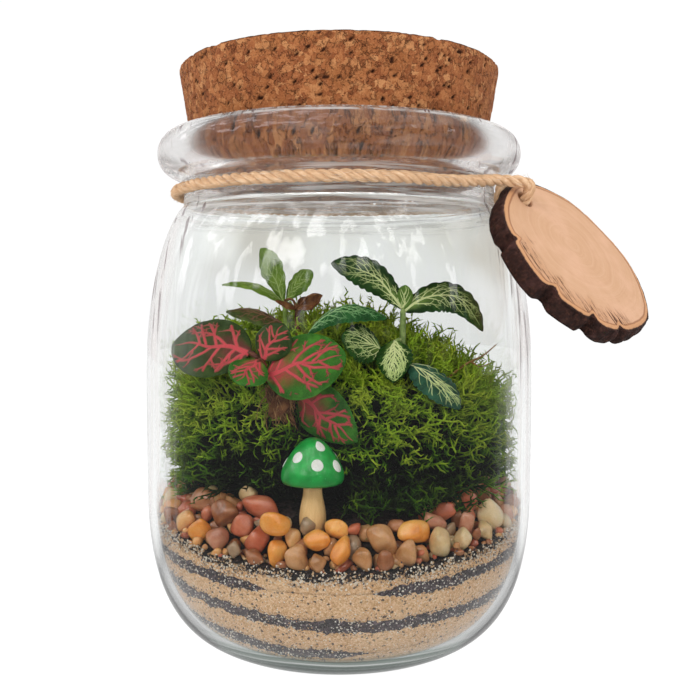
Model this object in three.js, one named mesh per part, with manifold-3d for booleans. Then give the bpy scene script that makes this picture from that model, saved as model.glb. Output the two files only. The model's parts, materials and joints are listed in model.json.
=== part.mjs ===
// Glass plant terrarium: a corked jar with sand layers, soil, pebbles, moss, nerve plants and a toy mushroom.
// Millimetres, +Z up, origin in the middle of the jar's foot. The front of the planting looks along -Y.
// An azimuth is an angle round the jar's axis in degrees: 0 is the front, 90 is the side at +X.
import * as THREE from "three";
import { mergeVertices } from "three/addons/utils/BufferGeometryUtils.js";
import Module from "manifold-3d";

const wasm = await Module();
wasm.setup();

// Clearance between pieces that rest on each other
const GAP = 0.3;
const SEGMENTS = 32;

// Jar
const BODY_R = 57.5;
const WALL = 2.2;
const FLOOR = 2.4;
const FOOT_R = 30.9;
const FOOT_TOP = 47;
const FOOT_POWER = 2.5;
const FOOT_STEPS = 6;
const SHOULDER_Z = 72;
const SHOULDER_TOP = 127.5;
const NECK_R = 46.2;
const RIM_Z = 142.5;
const RIM_R = 47.7;
const RIM_HALF_WIDTH = 5.8;
const RIM_HALF_HEIGHT = 6.3;
const MOUTH_TOP = 147.4;

// Cork stopper
const CORK_BOTTOM = 132;
const CORK_TOP = 167.6;
const CORK_BOTTOM_R = 41.5;
const CORK_TOP_R = 47.2;
const CORK_EDGE = 1.4;

// Twine and the tag, a slice of a branch
const TWINE_R = 1.6;
const TWINE_Z = 131.6;
const TWINE_STEPS = 50;
const TAG_R = 25.8;
const TAG_THICK = 6;
const TAG_CENTRE = new THREE.Vector3(64, -30, 113);
const TAG_FACE = new THREE.Vector3(0.54, -0.58, 0.61).normalize();
const TAG_DOWN = new THREE.Vector3(0.67, -0.15, -0.73).projectOnPlane(TAG_FACE).normalize();
const TAG_HOLE_R = 2.6;
const TAG_HOLE_OFFSET = 20.3;

// Sand, grit and soil at the glass, as heights at the front and how far they climb towards the sides
const GRIT_THICK = 2.4;
const SAND_TOP = { front: 31.2, climb: 6.6 };
const GRIT_LOW = { front: 10.8, climb: 7.5 };
const GRIT_MIDDLE = { front: 19.3, climb: 4.9 };
const GRIT_HIGH = { front: 28, climb: 4.6 };
const GRIT_SLANT = 1.6;
const GRIT_THIN = 0.35;
const SOIL_EDGE = 1.6;
const SOIL_TOP = 46;
const SOIL_POWER = 7;
const SOIL_RINGS = [48.5, 46.8, 44.6, 41.5, 37, 27];

// Moss
const MOSS_TOP = 91;
const MOSS_DROP = 14;
const MOSS_SIDE_R = 48;
const MOSS_FRONT_CUT = 15;
const MOSS_RINGS = [1, 0.93, 0.76, 0.5];
const MOSS_TUFTS = 86;
const STRAND_LENGTH = 9.5;
const STRAND_R = 0.62;
const STRAND_SPACE = 1.1;

// Leaves and stems
const BLADE = 0.7;
const SCALLOP = 0.93;
const STEM_R = 0.9;
const STEM_HOLE = 0.45;

// Toy mushroom
const MUSHROOM = { x: -6.8, y: -41 };
const CAP_R = 8.2;
const CAP_Z = 53.4;
const CAP_HEIGHT = 11.8;
const STALK_R = 3.5;
const STALK_FOOT = 39;

const rad = (degrees) => (degrees * Math.PI) / 180;
const at = (azimuth, radius, z) =>
  new THREE.Vector3(radius * Math.sin(rad(azimuth)), -radius * Math.cos(rad(azimuth)), z);
const vec = (p) => new THREE.Vector3(...p);
const range = (count) => Array.from({ length: count }, (_, i) => i);

// Seeded random numbers from 0 to 1
function randomSource(seed) {
  let state = seed;
  return () => {
    state = (state + 0x6d2b79f5) | 0;
    let t = Math.imul(state ^ (state >>> 15), 1 | state);
    t = (t + Math.imul(t ^ (t >>> 7), 61 | t)) ^ t;
    return ((t ^ (t >>> 14)) >>> 0) / 4294967296;
  };
}

// Solids and meshes

function solid(geometry) {
  const bare = geometry.index ? geometry.toNonIndexed() : geometry.clone();
  bare.deleteAttribute("normal");
  bare.deleteAttribute("uv");
  const merged = mergeVertices(bare, 1e-4);
  return new wasm.Manifold(
    new wasm.Mesh({
      numProp: 3,
      vertProperties: merged.attributes.position.array,
      triVerts: new Uint32Array(merged.index.array),
    }),
  );
}

function geometryOf(manifold) {
  const mesh = manifold.getMesh();
  const geometry = new THREE.BufferGeometry();
  geometry.setAttribute("position", new THREE.BufferAttribute(mesh.vertProperties, 3));
  geometry.setIndex(new THREE.BufferAttribute(mesh.triVerts, 1));
  geometry.computeVertexNormals();
  return geometry;
}

const join = (solids) => wasm.Manifold.union(solids);

// The largest body of a cut solid, without the loose scraps
function mainBody(manifold) {
  const bodies = manifold.decompose();
  return bodies.reduce((best, body) => (body.volume() > best.volume() ? body : best));
}

function material(color, roughness, extra = {}) {
  return new THREE.MeshStandardMaterial({ color, roughness, metalness: 0, ...extra });
}

const LOOKS = {
  glass: material(0xe8f0ee, 0.04, { transparent: true, opacity: 0.3 }),
  cork: material(0xb98a5e, 0.9),
  jute: material(0xb08a63, 0.95),
  wood: material(0xdcb08c, 0.7),
  sand: material(0xd3b18d, 0.95),
  grit: material(0x4a4046, 0.9),
  soil: material(0x2a2524, 0.95),
  moss: material(0x6d8a1f, 0.8),
  redLeaf: material(0x356b2c, 0.5),
  whiteLeaf: material(0x2f5a33, 0.5),
  shoot: material(0x7c9a45, 0.5),
  dried: material(0x5b3a26, 0.85),
  cap: material(0x1fa04a, 0.2),
  stalk: material(0xe0be86, 0.5),
  orange: material(0xe09a4e, 0.4),
  paleOrange: material(0xe3b27c, 0.4),
  redStone: material(0xc26a4a, 0.45),
  brown: material(0xa06a52, 0.45),
  tan: material(0xbf9470, 0.45),
  pink: material(0xb88478, 0.45),
  cream: material(0xd8c7a4, 0.4),
  grey: material(0x968c7c, 0.5),
};

// A closed surface turned round the jar's axis, whose profile of [radius, z] may change with the azimuth.
// The profile runs from the axis at the bottom to the axis at the top.
function turned(profile, segments = SEGMENTS) {
  const rings = range(segments).map((i) => profile((360 * i) / segments));
  const count = rings[0].length;
  const positions = [];
  const indices = [];
  const bottom = rings[0][0];
  const top = rings[0][count - 1];
  positions.push(0, 0, bottom[1], 0, 0, top[1]);
  rings.forEach((ring, i) =>
    ring.slice(1, -1).forEach(([r, z]) => positions.push(...at((360 * i) / segments, r, z).toArray())),
  );
  const inner = count - 2;
  const index = (i, k) => 2 + (i % segments) * inner + k;
  for (let i = 0; i < segments; i++) {
    indices.push(0, index(i + 1, 0), index(i, 0));
    indices.push(1, index(i, inner - 1), index(i + 1, inner - 1));
    for (let k = 0; k < inner - 1; k++) {
      indices.push(index(i, k), index(i + 1, k), index(i + 1, k + 1));
      indices.push(index(i, k), index(i + 1, k + 1), index(i, k + 1));
    }
  }
  return closed(positions, indices);
}

function closed(positions, indices) {
  const geometry = new THREE.BufferGeometry();
  geometry.setAttribute("position", new THREE.Float32BufferAttribute(positions, 3));
  geometry.setIndex(indices);
  return geometry;
}

// A closed tube whose radius may change along a curve; with loop it runs back into its own start.
function tube(curve, steps, sides, radius, loop = false) {
  const frames = curve.computeFrenetFrames(steps, loop);
  const rings = loop ? steps : steps + 1;
  const positions = [];
  const indices = [];
  for (let i = 0; i < rings; i++) {
    const centre = curve.getPointAt(i / steps);
    const size = radius(i / steps);
    for (let k = 0; k < sides; k++) {
      const turn = (2 * Math.PI * k) / sides;
      const point = centre
        .clone()
        .addScaledVector(frames.normals[i], size * Math.cos(turn))
        .addScaledVector(frames.binormals[i], size * Math.sin(turn));
      positions.push(...point.toArray());
    }
  }
  const index = (i, k) => (i % rings) * sides + (k % sides);
  for (let i = 0; i < (loop ? rings : rings - 1); i++)
    for (let k = 0; k < sides; k++) {
      indices.push(index(i, k), index(i, k + 1), index(i + 1, k + 1));
      indices.push(index(i, k), index(i + 1, k + 1), index(i + 1, k));
    }
  if (!loop)
    for (let k = 1; k < sides - 1; k++) {
      indices.push(index(0, 0), index(0, k + 1), index(0, k));
      indices.push(index(steps, 0), index(steps, k), index(steps, k + 1));
    }
  return closed(positions, indices);
}

const stemCurve = (points) => new THREE.CatmullRomCurve3(points.map(vec), false, "centripetal");

function stem(points, radius = STEM_R, steps = 5, taper = 0.25) {
  return solid(tube(stemCurve(points), steps, 5, (t) => radius * (1 - taper * t)));
}

// Jar

function outerRadius(z) {
  if (z < FOOT_TOP) {
    const rest = 1 - Math.max(z, 0) / FOOT_TOP;
    return FOOT_R + (BODY_R - FOOT_R) * (1 - rest ** FOOT_POWER) ** (1 / FOOT_POWER);
  }
  if (z < SHOULDER_Z) return BODY_R;
  const rise = Math.min(1, (z - SHOULDER_Z) / (SHOULDER_TOP - SHOULDER_Z));
  return NECK_R + (BODY_R - NECK_R) * (1 - rise ** 2.4) ** 0.75;
}

const corkRadius = (z) =>
  CORK_BOTTOM_R + ((CORK_TOP_R - CORK_BOTTOM_R) * (z - CORK_BOTTOM)) / (CORK_TOP - CORK_BOTTOM);

function footProfile(bottomR, bottomZ, sideR, steps) {
  return range(steps + 1).map((i) => {
    const turn = (Math.PI / 2) * (i / steps);
    const r = bottomR + (sideR - bottomR) * Math.sin(turn) ** (2 / FOOT_POWER);
    const z = bottomZ + (FOOT_TOP - bottomZ) * (1 - Math.cos(turn) ** (2 / FOOT_POWER));
    return [r, z];
  });
}

const shoulderHeights = [0, 0.35, 0.55, 0.72, 0.86, 0.95, 1].map(
  (share) => SHOULDER_Z + (SHOULDER_TOP - SHOULDER_Z) * share,
);

// The jar's inside from the floor's edge up to the neck, as [radius, z]
const insideProfile = [
  ...footProfile(FOOT_R - 1.2, FLOOR, BODY_R - WALL, FOOT_STEPS),
  ...shoulderHeights.map((z) => [outerRadius(z) - WALL, z]),
];

// The inside radius at a height, along the straight facets of the profile
function innerRadius(z) {
  const next = Math.max(1, insideProfile.findIndex((p) => p[1] > z));
  const [r0, z0] = insideProfile[next - 1];
  const [r1, z1] = insideProfile[next];
  return r0 + ((r1 - r0) * (Math.max(z, FLOOR) - z0)) / (z1 - z0);
}

function jarGeometry() {
  const rim = range(7).map((i) => {
    const turn = rad(-78 + 30 * i);
    return [RIM_R + RIM_HALF_WIDTH * Math.cos(turn), RIM_Z + RIM_HALF_HEIGHT * Math.sin(turn)];
  });
  const outside = [
    [0, 0],
    ...footProfile(FOOT_R, 0, BODY_R, FOOT_STEPS),
    ...shoulderHeights.map((z) => [outerRadius(z), z]),
    [NECK_R - 0.2, 131],
    [NECK_R, 134.5],
    ...rim,
  ];
  const inside = [
    [corkRadius(MOUTH_TOP) + GAP, MOUTH_TOP],
    [corkRadius(141) + GAP, 141],
    ...[...insideProfile].reverse(),
    [0, FLOOR],
  ];
  return lathe([...outside, ...inside]);
}

// A lathe about the jar's axis from a profile of [radius, z] that starts and ends on the axis
function lathe(profile, segments = SEGMENTS) {
  const points = profile.map(([r, z]) => new THREE.Vector2(r, z));
  return new THREE.LatheGeometry(points, segments).rotateX(Math.PI / 2);
}

function corkGeometry() {
  return lathe([
    [0, CORK_BOTTOM],
    [CORK_BOTTOM_R - CORK_EDGE, CORK_BOTTOM],
    [corkRadius(CORK_BOTTOM + CORK_EDGE), CORK_BOTTOM + CORK_EDGE],
    [corkRadius(CORK_TOP - CORK_EDGE), CORK_TOP - CORK_EDGE],
    [corkRadius(CORK_TOP) - 0.4 * CORK_EDGE, CORK_TOP - 0.4 * CORK_EDGE],
    [corkRadius(CORK_TOP) - CORK_EDGE, CORK_TOP],
    [0, CORK_TOP],
  ]);
}

// Tag and twine

const tagAcross = new THREE.Vector3().crossVectors(TAG_FACE, TAG_DOWN).normalize();
const tagPoint = (down, across, out) =>
  TAG_CENTRE.clone()
    .addScaledVector(TAG_DOWN, down)
    .addScaledVector(tagAcross, across)
    .addScaledVector(TAG_FACE, out);

// The bark's notches, as angles round the slice from its low end towards the jar
const NOTCHES = [
  { angle: -28, wide: 5, deep: 1.6 },
  { angle: -52, wide: 7, deep: 2.6 },
  { angle: -84, wide: 8, deep: 2.8 },
  { angle: -124, wide: 5, deep: 1.8 },
];

function tagRadius(degrees) {
  const waves = 0.35 * Math.sin(rad(3 * degrees + 20)) + 0.25 * Math.sin(rad(7 * degrees));
  const notch = NOTCHES.reduce((sum, n) => {
    const away = (degrees - n.angle) / n.wide;
    return sum + n.deep * Math.exp(-away * away * 4);
  }, 0);
  return TAG_R + waves - notch;
}

function tagGeometry() {
  const steps = 72;
  const outline = range(steps).map((i) => {
    const degrees = (360 * i) / steps - 180;
    const r = tagRadius(degrees);
    return new THREE.Vector2(r * Math.cos(rad(degrees)), r * Math.sin(rad(degrees)));
  });
  const shape = new THREE.Shape(outline);
  const hole = new THREE.Path();
  hole.absarc(-TAG_HOLE_OFFSET, 0, TAG_HOLE_R, 0, 2 * Math.PI, true);
  shape.holes.push(hole);
  const options = { depth: TAG_THICK, bevelEnabled: false, curveSegments: 5 };
  const geometry = new THREE.ExtrudeGeometry(shape, options);
  geometry.translate(0, 0, -TAG_THICK);
  const frame = new THREE.Matrix4().makeBasis(TAG_DOWN, tagAcross, TAG_FACE);
  geometry.applyMatrix4(frame.setPosition(TAG_CENTRE));
  const groove = tube(twineCurve(), TWINE_STEPS, 8, () => TWINE_R + GAP, true);
  return geometryOf(mainBody(solid(geometry).subtract(solid(groove))));
}

// One string: round the neck from the tag and back, with its ends through the tag's hole
function twineCurve() {
  const neck = NECK_R + 1.6 * GAP + TWINE_R;
  const around = range(13).map((i) => at(88 + 26 * i, neck, TWINE_Z));
  const hole = -TAG_HOLE_OFFSET;
  return new THREE.CatmullRomCurve3(
    [
      ...around,
      at(55, 52, TWINE_Z + 1),
      tagPoint(hole - 2, 0, 3.6),
      tagPoint(hole, 0, 0.6),
      tagPoint(hole, 0, -TAG_THICK + 0.8),
      tagPoint(hole - 3, 1.5, -TAG_THICK - 1.9),
      tagPoint(hole - 7.2, 4.5, -TAG_THICK + 0.8),
    ],
    true,
    "centripetal",
  );
}

// Sand, grit and soil

const level = ({ front, climb }, azimuth) => front + climb * Math.sin(rad(azimuth)) ** 2;
const slant = (azimuth) => GRIT_SLANT * Math.sin(rad(azimuth));
const soilEdge = (azimuth) => level(SAND_TOP, azimuth) + SOIL_EDGE;

// The soil is level in a ditch along the glass and rises from there to the middle
function soilHeight(azimuth, radius) {
  const share = Math.min(1, radius / SOIL_RINGS[0]) ** SOIL_POWER;
  return SOIL_TOP - (SOIL_TOP - soilEdge(azimuth)) * share;
}

// The same along the straight facets between the soil's rings
function soilSurface(azimuth, radius) {
  const rings = [BODY_R, ...SOIL_RINGS, 0];
  const next = rings.findIndex((ring) => ring <= radius);
  const [outer, inner] = [rings[next - 1], rings[next]];
  const share = (radius - inner) / (outer - inner);
  return THREE.MathUtils.lerp(soilHeight(azimuth, inner), soilHeight(azimuth, outer), share);
}

// The thickness of a grit layer that thins out at the front, between two azimuths to either side
function thinnedGrit(azimuth, from, to) {
  const away = Math.abs(((azimuth + 180) % 360) - 180);
  return GRIT_THICK * (GRIT_THIN + (1 - GRIT_THIN) * THREE.MathUtils.smoothstep(away, from, to));
}
const lowGrit = (azimuth) => thinnedGrit(azimuth, 8, 40);
const highGrit = (azimuth) => thinnedGrit(azimuth, 12, 32);

const boundaries = [
  (a) => level(GRIT_LOW, a) - lowGrit(a) / 2,
  (a) => level(GRIT_LOW, a) + lowGrit(a) / 2,
  (a) => level(GRIT_MIDDLE, a) - slant(a) - GRIT_THICK / 2,
  (a) => level(GRIT_MIDDLE, a) - slant(a) + GRIT_THICK / 2,
  (a) => level(GRIT_HIGH, a) - highGrit(a) / 2,
  (a) => level(GRIT_HIGH, a) + highGrit(a) / 2,
  (a) => level(SAND_TOP, a),
];
const layerNames = ["sand_1", "grit_1", "sand_2", "grit_2", "sand_3", "grit_3", "sand_4"];

const wallPoint = (z) => [innerRadius(z) - GAP, z];

function layerGeometry(number) {
  const upper = (azimuth) => boundaries[number](azimuth) - GAP / 2;
  if (number === 0) {
    const floor = FLOOR + GAP;
    return turned((azimuth) => {
      const side = range(4).map((i) => wallPoint(floor + ((upper(azimuth) - floor) * i) / 3));
      return [[0, floor], ...side, [0, upper(0)]];
    });
  }
  const lower = (azimuth) => boundaries[number - 1](azimuth) + GAP / 2;
  return turned((azimuth) => [
    [0, lower(0)],
    wallPoint(lower(azimuth)),
    wallPoint(upper(azimuth)),
    [0, upper(0)],
  ]);
}

function soilSolid() {
  const lower = (azimuth) => level(SAND_TOP, azimuth) + GAP / 2;
  const base = solid(
    turned((azimuth) => [
      [0, lower(0)],
      wallPoint(lower(azimuth)),
      wallPoint(soilEdge(azimuth)),
      ...SOIL_RINGS.map((r) => [r, soilHeight(azimuth, r)]),
      [0, SOIL_TOP],
    ]),
  );
  const socket = lathe(
    [
      [0, STALK_FOOT - GAP],
      [STALK_R + GAP, STALK_FOOT - GAP],
      [STALK_R + GAP, SOIL_TOP],
      [0, SOIL_TOP],
    ],
    10,
  );
  return base.subtract(solid(socket.translate(MUSHROOM.x, MUSHROOM.y, 0)));
}

// Pebbles: azimuth, distance from the axis, lift over the soil at first, half width, half height, look.
// The row against the glass comes first, from left to right, and then those behind it.
const PEBBLES = [
  [-80, 50, 0, 3.2, 3.0, "brown"],
  [-66, 51, 0, 2.7, 2.7, "paleOrange"],
  [-54, 51, 0, 3.1, 3.1, "paleOrange"],
  [-46, 51, -1, 3.7, 2.8, "orange"],
  [-36, 51, -1, 3.7, 3.2, "pink"],
  [-31, 52, -3, 2.3, 2.1, "grey"],
  [-25, 51, 0, 3.4, 2.9, "redStone"],
  [-23, 52, -3, 2.5, 2.0, "brown"],
  [-18, 51, -2, 3.0, 3.5, "orange"],
  [-11.5, 51, -2, 2.8, 3.2, "tan"],
  [-6.5, 52, -2, 2.3, 2.4, "tan"],
  [-1, 51, -1, 3.0, 4.3, "orange"],
  [6, 51, 0, 2.9, 3.0, "tan"],
  [10.5, 52, -2, 2.1, 2.5, "brown"],
  [21, 51, -2, 2.9, 3.1, "tan"],
  [33, 51, 0, 3.9, 3.3, "cream"],
  [38, 51, -3, 2.9, 2.8, "cream"],
  [41, 50.5, 0, 2.5, 3.9, "pink"],
  [48, 52, -3, 3.0, 2.2, "cream"],
  [53, 51, 0, 3.3, 4.6, "cream"],
  [63, 52, -1, 2.1, 2.5, "pink"],
  [-64, 45.5, 0, 2.6, 2.3, "brown"],
  [-55, 45, 1, 4.6, 4.0, "brown"],
  [-42, 46, 1, 4.4, 3.9, "brown"],
  [-31, 41.5, 0, 5.8, 3.6, "redStone"],
  [-31, 48.5, 2, 3.2, 3.0, "redStone"],
  [-27, 45, 0, 2.2, 1.8, "grey"],
  [-17, 48.5, 2, 3.9, 3.3, "orange"],
  [-6, 49, 2, 3.9, 2.9, "orange"],
  [-13.5, 45.5, 0, 2.5, 2.4, "paleOrange"],
  [-1, 45.5, 0, 3.2, 2.9, "orange"],
  [13, 49.5, 2, 4.1, 3.7, "tan"],
  [23, 49, 2, 4.1, 3.4, "orange"],
  [31, 46.5, 1, 3.2, 2.7, "pink"],
  [37, 47, 1, 2.2, 1.8, "grey"],
  [40, 44.5, 1, 3.2, 2.8, "redStone"],
  [53, 44, 1, 3.9, 3.4, "redStone"],
  [67, 44.5, 1, 3.3, 2.8, "brown"],
  [71, 48, 1, 2.7, 2.4, "tan"],
  [84, 50, 1, 2.7, 4.0, "pink"],
];

function makeStones() {
  const random = randomSource(11);
  return PEBBLES.map(([azimuth, radius, lift, wide, tall, look]) => {
    const place = at(azimuth, radius, 0);
    place.z = soilHeight(azimuth, radius) + tall + lift;
    const nod = 0.5 * (random() - 0.5);
    const roll = 0.9 * (random() - 0.5);
    const spin = rad(azimuth) + 0.6 * (random() - 0.5);
    const turn = new THREE.Quaternion().setFromEuler(new THREE.Euler(nod, roll, spin, "ZYX"));
    const half = new THREE.Vector3(wide, (0.8 + 0.15 * random()) * Math.min(wide, tall), tall);
    return { place, home: place.clone(), turn, half, look, seed: Math.floor(1e6 * random()) };
  });
}

// How far a stone reaches from its middle in a direction
function reach(stone, direction) {
  const local = direction.clone().applyQuaternion(stone.turn.clone().invert());
  return local.multiply(stone.half).length();
}

function azimuthOf(point) {
  return (Math.atan2(point.x, -point.y) * 180) / Math.PI;
}

// Lets the stones sink until they lie on the soil or each other, clear of glass, moss and mushroom
function settle(stones) {
  const up = new THREE.Vector3(0, 0, 1);
  const flat = (p) => new THREE.Vector3(p.x, p.y, 0);
  const stalk = new THREE.Vector3(MUSHROOM.x, MUSHROOM.y, 0);
  const rounds = 220;
  const sinkingRounds = 150;
  for (let round = 0; round < rounds; round++) {
    if (round < sinkingRounds)
      stones.forEach((s) => {
        s.place.z -= 0.12;
        s.place.lerp(new THREE.Vector3(s.home.x, s.home.y, s.place.z), 0.05);
      });
    stones.forEach((a, i) =>
      stones.slice(i + 1).forEach((b) => {
        const away = b.place.clone().sub(a.place);
        const distance = away.length();
        away.normalize();
        const short = reach(a, away) + reach(b, away) + GAP - distance;
        if (short <= 0) return;
        a.place.addScaledVector(away, -short / 2);
        b.place.addScaledVector(away, short / 2);
      }),
    );
    stones.forEach((s) => {
      const outward = flat(s.place).normalize();
      const radius = Math.hypot(s.place.x, s.place.y);
      const wall = innerRadius(s.place.z - 0.6 * s.half.z) * Math.cos(Math.PI / SEGMENTS) - GAP;
      const over = radius + reach(s, outward) - wall;
      if (over > 0) s.place.addScaledVector(outward, -over);
      const inner = mossEdge(azimuthOf(s.place)) + GAP + reach(s, outward) - radius;
      if (inner > 0) s.place.addScaledVector(outward, inner);
      const fromStalk = flat(s.place).sub(stalk);
      const near = STALK_R + 2 * GAP + reach(s, fromStalk.clone().normalize()) - fromStalk.length();
      if (near > 0) s.place.addScaledVector(fromStalk.normalize(), near);
      const ground = soilUnder(s);
      if (ground > 0) s.place.addScaledVector(up, ground);
    });
  }
}

// How deep a stone is in the soil, measured at points round its lower side
function soilUnder(stone) {
  let deepest = -Infinity;
  for (const [dip, count] of [
    [0, 8],
    [-0.5, 8],
    [-0.85, 6],
    [-1, 1],
  ])
    for (let i = 0; i < count; i++) {
      const turn = (2 * Math.PI * i) / count;
      const wide = Math.sqrt(1 - dip * dip);
      const point = new THREE.Vector3(wide * Math.cos(turn), wide * Math.sin(turn), dip)
        .multiply(stone.half)
        .applyQuaternion(stone.turn)
        .add(stone.place);
      const radius = Math.hypot(point.x, point.y);
      deepest = Math.max(deepest, soilSurface(azimuthOf(point), radius) + GAP - point.z);
    }
  return deepest;
}

function pebbleGeometry(stone) {
  const geometry = mergeVertices(bareSphere(7, 5), 1e-5);
  const random = randomSource(stone.seed);
  const bumps = range(5).map(() => ({
    way: new THREE.Vector3(random() - 0.5, random() - 0.5, random() - 0.5).normalize(),
    cut: 0.78 + 0.18 * random(),
  }));
  const position = geometry.attributes.position;
  for (let i = 0; i < position.count; i++) {
    const p = new THREE.Vector3().fromBufferAttribute(position, i);
    bumps.forEach(({ way, cut }) => {
      const along = p.dot(way);
      if (along > cut) p.addScaledVector(way, 0.8 * (cut - along));
    });
    p.multiply(stone.half).applyQuaternion(stone.turn).add(stone.place);
    position.setXYZ(i, p.x, p.y, p.z);
  }
  return geometry;
}

function bareSphere(around, down) {
  const sphere = new THREE.SphereGeometry(1, around, down);
  sphere.rotateX(Math.PI / 2);
  sphere.deleteAttribute("normal");
  sphere.deleteAttribute("uv");
  return sphere;
}

// Leaves: where the blade starts and ends, its full width, the way its upper face looks, how far its midrib
// bows out along that way, how far its sides bend back from it, how far the midrib curves sideways, the share
// of its length where it is widest, and how blunt it is.
const leaf = (from, to, wide, face, bow, cup, curve, widest, blunt) => ({
  from, to, wide, face, bow, cup, curve, widest, blunt,
});
const RED_LEAVES = [
  leaf([-23, -36.5, 87], [-44.6, -27.5, 88.4], 18, [-0.25, -0.8, 0.55], 1.6, 1.2, 0, 0.46, 0.6),
  leaf([-18.9, -38.5, 81], [1.8, -44, 86.4], 18.4, [0.1, -0.85, 0.5], 1.8, 1.4, 0, 0.46, 0.6),
  leaf([-19.8, -38.6, 85.2], [-14.2, -37.5, 94.4], 10.6, [-0.2, -0.9, 0.35], 0.8, 1, 0, 0.5, 0.55),
  leaf([-20.4, -39.8, 85], [-25.6, -45, 79.6], 11.2, [-0.1, -0.75, 0.65], 0.8, 0.8, 0, 0.5, 0.5),
  leaf([-10.2, -36, 75.4], [4.8, -41, 64], 14.4, [0.3, -0.9, -0.5], 0.6, 1.6, 0, 0.36, 0.66),
];
const RED_STEMS = [
  [[-12, -25, 62], [-13.6, -31, 68], [-16.5, -35.6, 76], [-19.6, -37.6, 83.5], [-19.8, -38.4, 86]],
  [[-19.4, -37, 82.5], [-21, -37, 85.5], [-23.8, -36.3, 87.2]],
  [[-18.4, -37, 79.5], [-18.8, -38, 80.6], [-17.6, -38.9, 81.6]],
  [[-19.4, -37.8, 83.6], [-20.2, -39.4, 85], [-21, -40.6, 84.2]],
  [[-14.4, -32.6, 70.5], [-13, -34.6, 74], [-9.8, -36, 75.2]],
];
const SHOOT_LEAVES = [
  leaf([-15.4, -16, 99.6], [-22.2, -14.5, 115], 8, [-0.45, -0.85, -0.1], 1.2, 0.8, 0.8, 0.62, 0.62),
  leaf([-15, -16, 99.8], [-7.4, -18.4, 108.4], 7, [-0.3, -0.8, 0.4], 1, 0.8, -0.6, 0.62, 0.6),
  leaf([-16, -16.4, 99.8], [-32.6, -20, 104.6], 7, [0.05, -0.35, 0.95], 2.6, 0.8, 0, 0.38, 0.8),
  leaf([-15.2, -17.6, 93], [-31, -24, 97.2], 9, [-0.1, -0.5, 0.87], 1.8, 1.2, 0, 0.45, 0.7),
];
const SHOOT_STEMS = [
  [[-13, -13, 72], [-14.2, -15.6, 84], [-15, -17, 93.4], [-15.4, -16.2, 100.6]],
];
const WHITE_LEAVES = [
  leaf([17.6, -18.4, 97.8], [-2.2, -17, 110.6], 9.4, [-0.3, -0.8, 0.45], 1.4, 1, 3.2, 0.56, 0.62),
  leaf([18.3, -18.4, 97.2], [39.8, -22, 91.8], 10.4, [0.1, -0.85, 0.5], 2, 1.2, -7.6, 0.44, 0.7),
  leaf([18.1, -18.2, 97.6], [18.7, -17.6, 104.6], 5, [0.1, -0.95, 0.2], 0.4, 0.5, 0, 0.56, 0.5),
  leaf([11.6, -25, 86.8], [0.6, -31, 90.6], 12, [-0.2, -0.85, 0.5], 1.4, 1.2, 0, 0.5, 0.55),
  leaf([15.4, -24.6, 89.4], [14.4, -33.4, 78.6], 10.4, [-0.1, -0.8, 0.6], 1.4, 1.2, 0, 0.4, 0.66),
  leaf([18.4, -27, 83.4], [31.2, -37.6, 72.2], 10.4, [0.15, -0.65, 0.75], 1.4, 1.2, -0.8, 0.5, 0.6),
];
const WHITE_STEMS = [
  [[17, -15, 68], [17.4, -18.6, 80], [17.8, -19.6, 88], [18, -18.4, 98.6]],
  [[17.5, -19.4, 84], [15.4, -22.6, 86.6], [10.8, -25.4, 86.9]],
  [[17.6, -19.6, 87], [16.8, -22.4, 89.4], [15.4, -25.2, 89]],
  [[17.4, -19, 82], [17.8, -23.6, 83.8], [19, -27.6, 83]],
];
const ARCHED_LEAVES = [
  leaf([-8.6, -26.4, 90.8], [13, -27, 95.6], 8.6, [-0.1, -0.5, 0.87], 6, 2, 0, 0.55, 0.6),
];
const ARCHED_STEMS = [
  [[-5, -16, 70], [-7, -20, 82], [-8.6, -25, 89.2], [-7.8, -26.4, 91.4]],
];
const DRIED_STEMS = [
  [[-9.6, -15, 76], [-11.2, -19.4, 88], [-11.7, -20.2, 96], [-11.5, -20, 99.6]],
  [[-11.6, -20.2, 97.4], [-13, -22, 100.6], [-15.4, -23, 100.4]],
  [[-11.6, -20, 97.4], [-8.6, -21, 101.4], [-5.2, -20.4, 102]],
  [[-11.6, -20, 97], [-9.6, -21, 98.6], [-7.4, -20.4, 98]],
];

// Half the width of a blade along it, as a share of its greatest, from its start at 0 to its tip at 1
const ovate = (u, widest, blunt) =>
  Math.max(0, Math.sin(Math.PI * u ** (Math.log(0.5) / Math.log(widest)))) ** blunt;

// The point at a share u of a blade's length and v of its half width, lifted off its middle surface
function leafPoint({ from, to, wide, face: look, bow, cup, curve, widest, blunt }, u, v, out, scallop) {
  const start = vec(from);
  const along = vec(to).sub(start);
  const face = vec(look);
  face.addScaledVector(along, -face.dot(along) / along.lengthSq()).normalize();
  const side = along.clone().normalize().cross(face);
  const arch = face.clone().multiplyScalar(bow).addScaledVector(side, curve);
  const tangent = along.clone().addScaledVector(arch, 4 * (1 - 2 * u)).normalize();
  const across = tangent.clone().cross(face).normalize();
  const up = across.clone().cross(tangent);
  const shape = ovate(u, widest, blunt);
  return start
    .addScaledVector(along, u)
    .addScaledVector(arch, 4 * u * (1 - u))
    .addScaledVector(across, Math.max(BLADE / 2, (wide / 2) * shape * scallop) * v)
    .addScaledVector(up, out - cup * v * v * shape);
}

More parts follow.
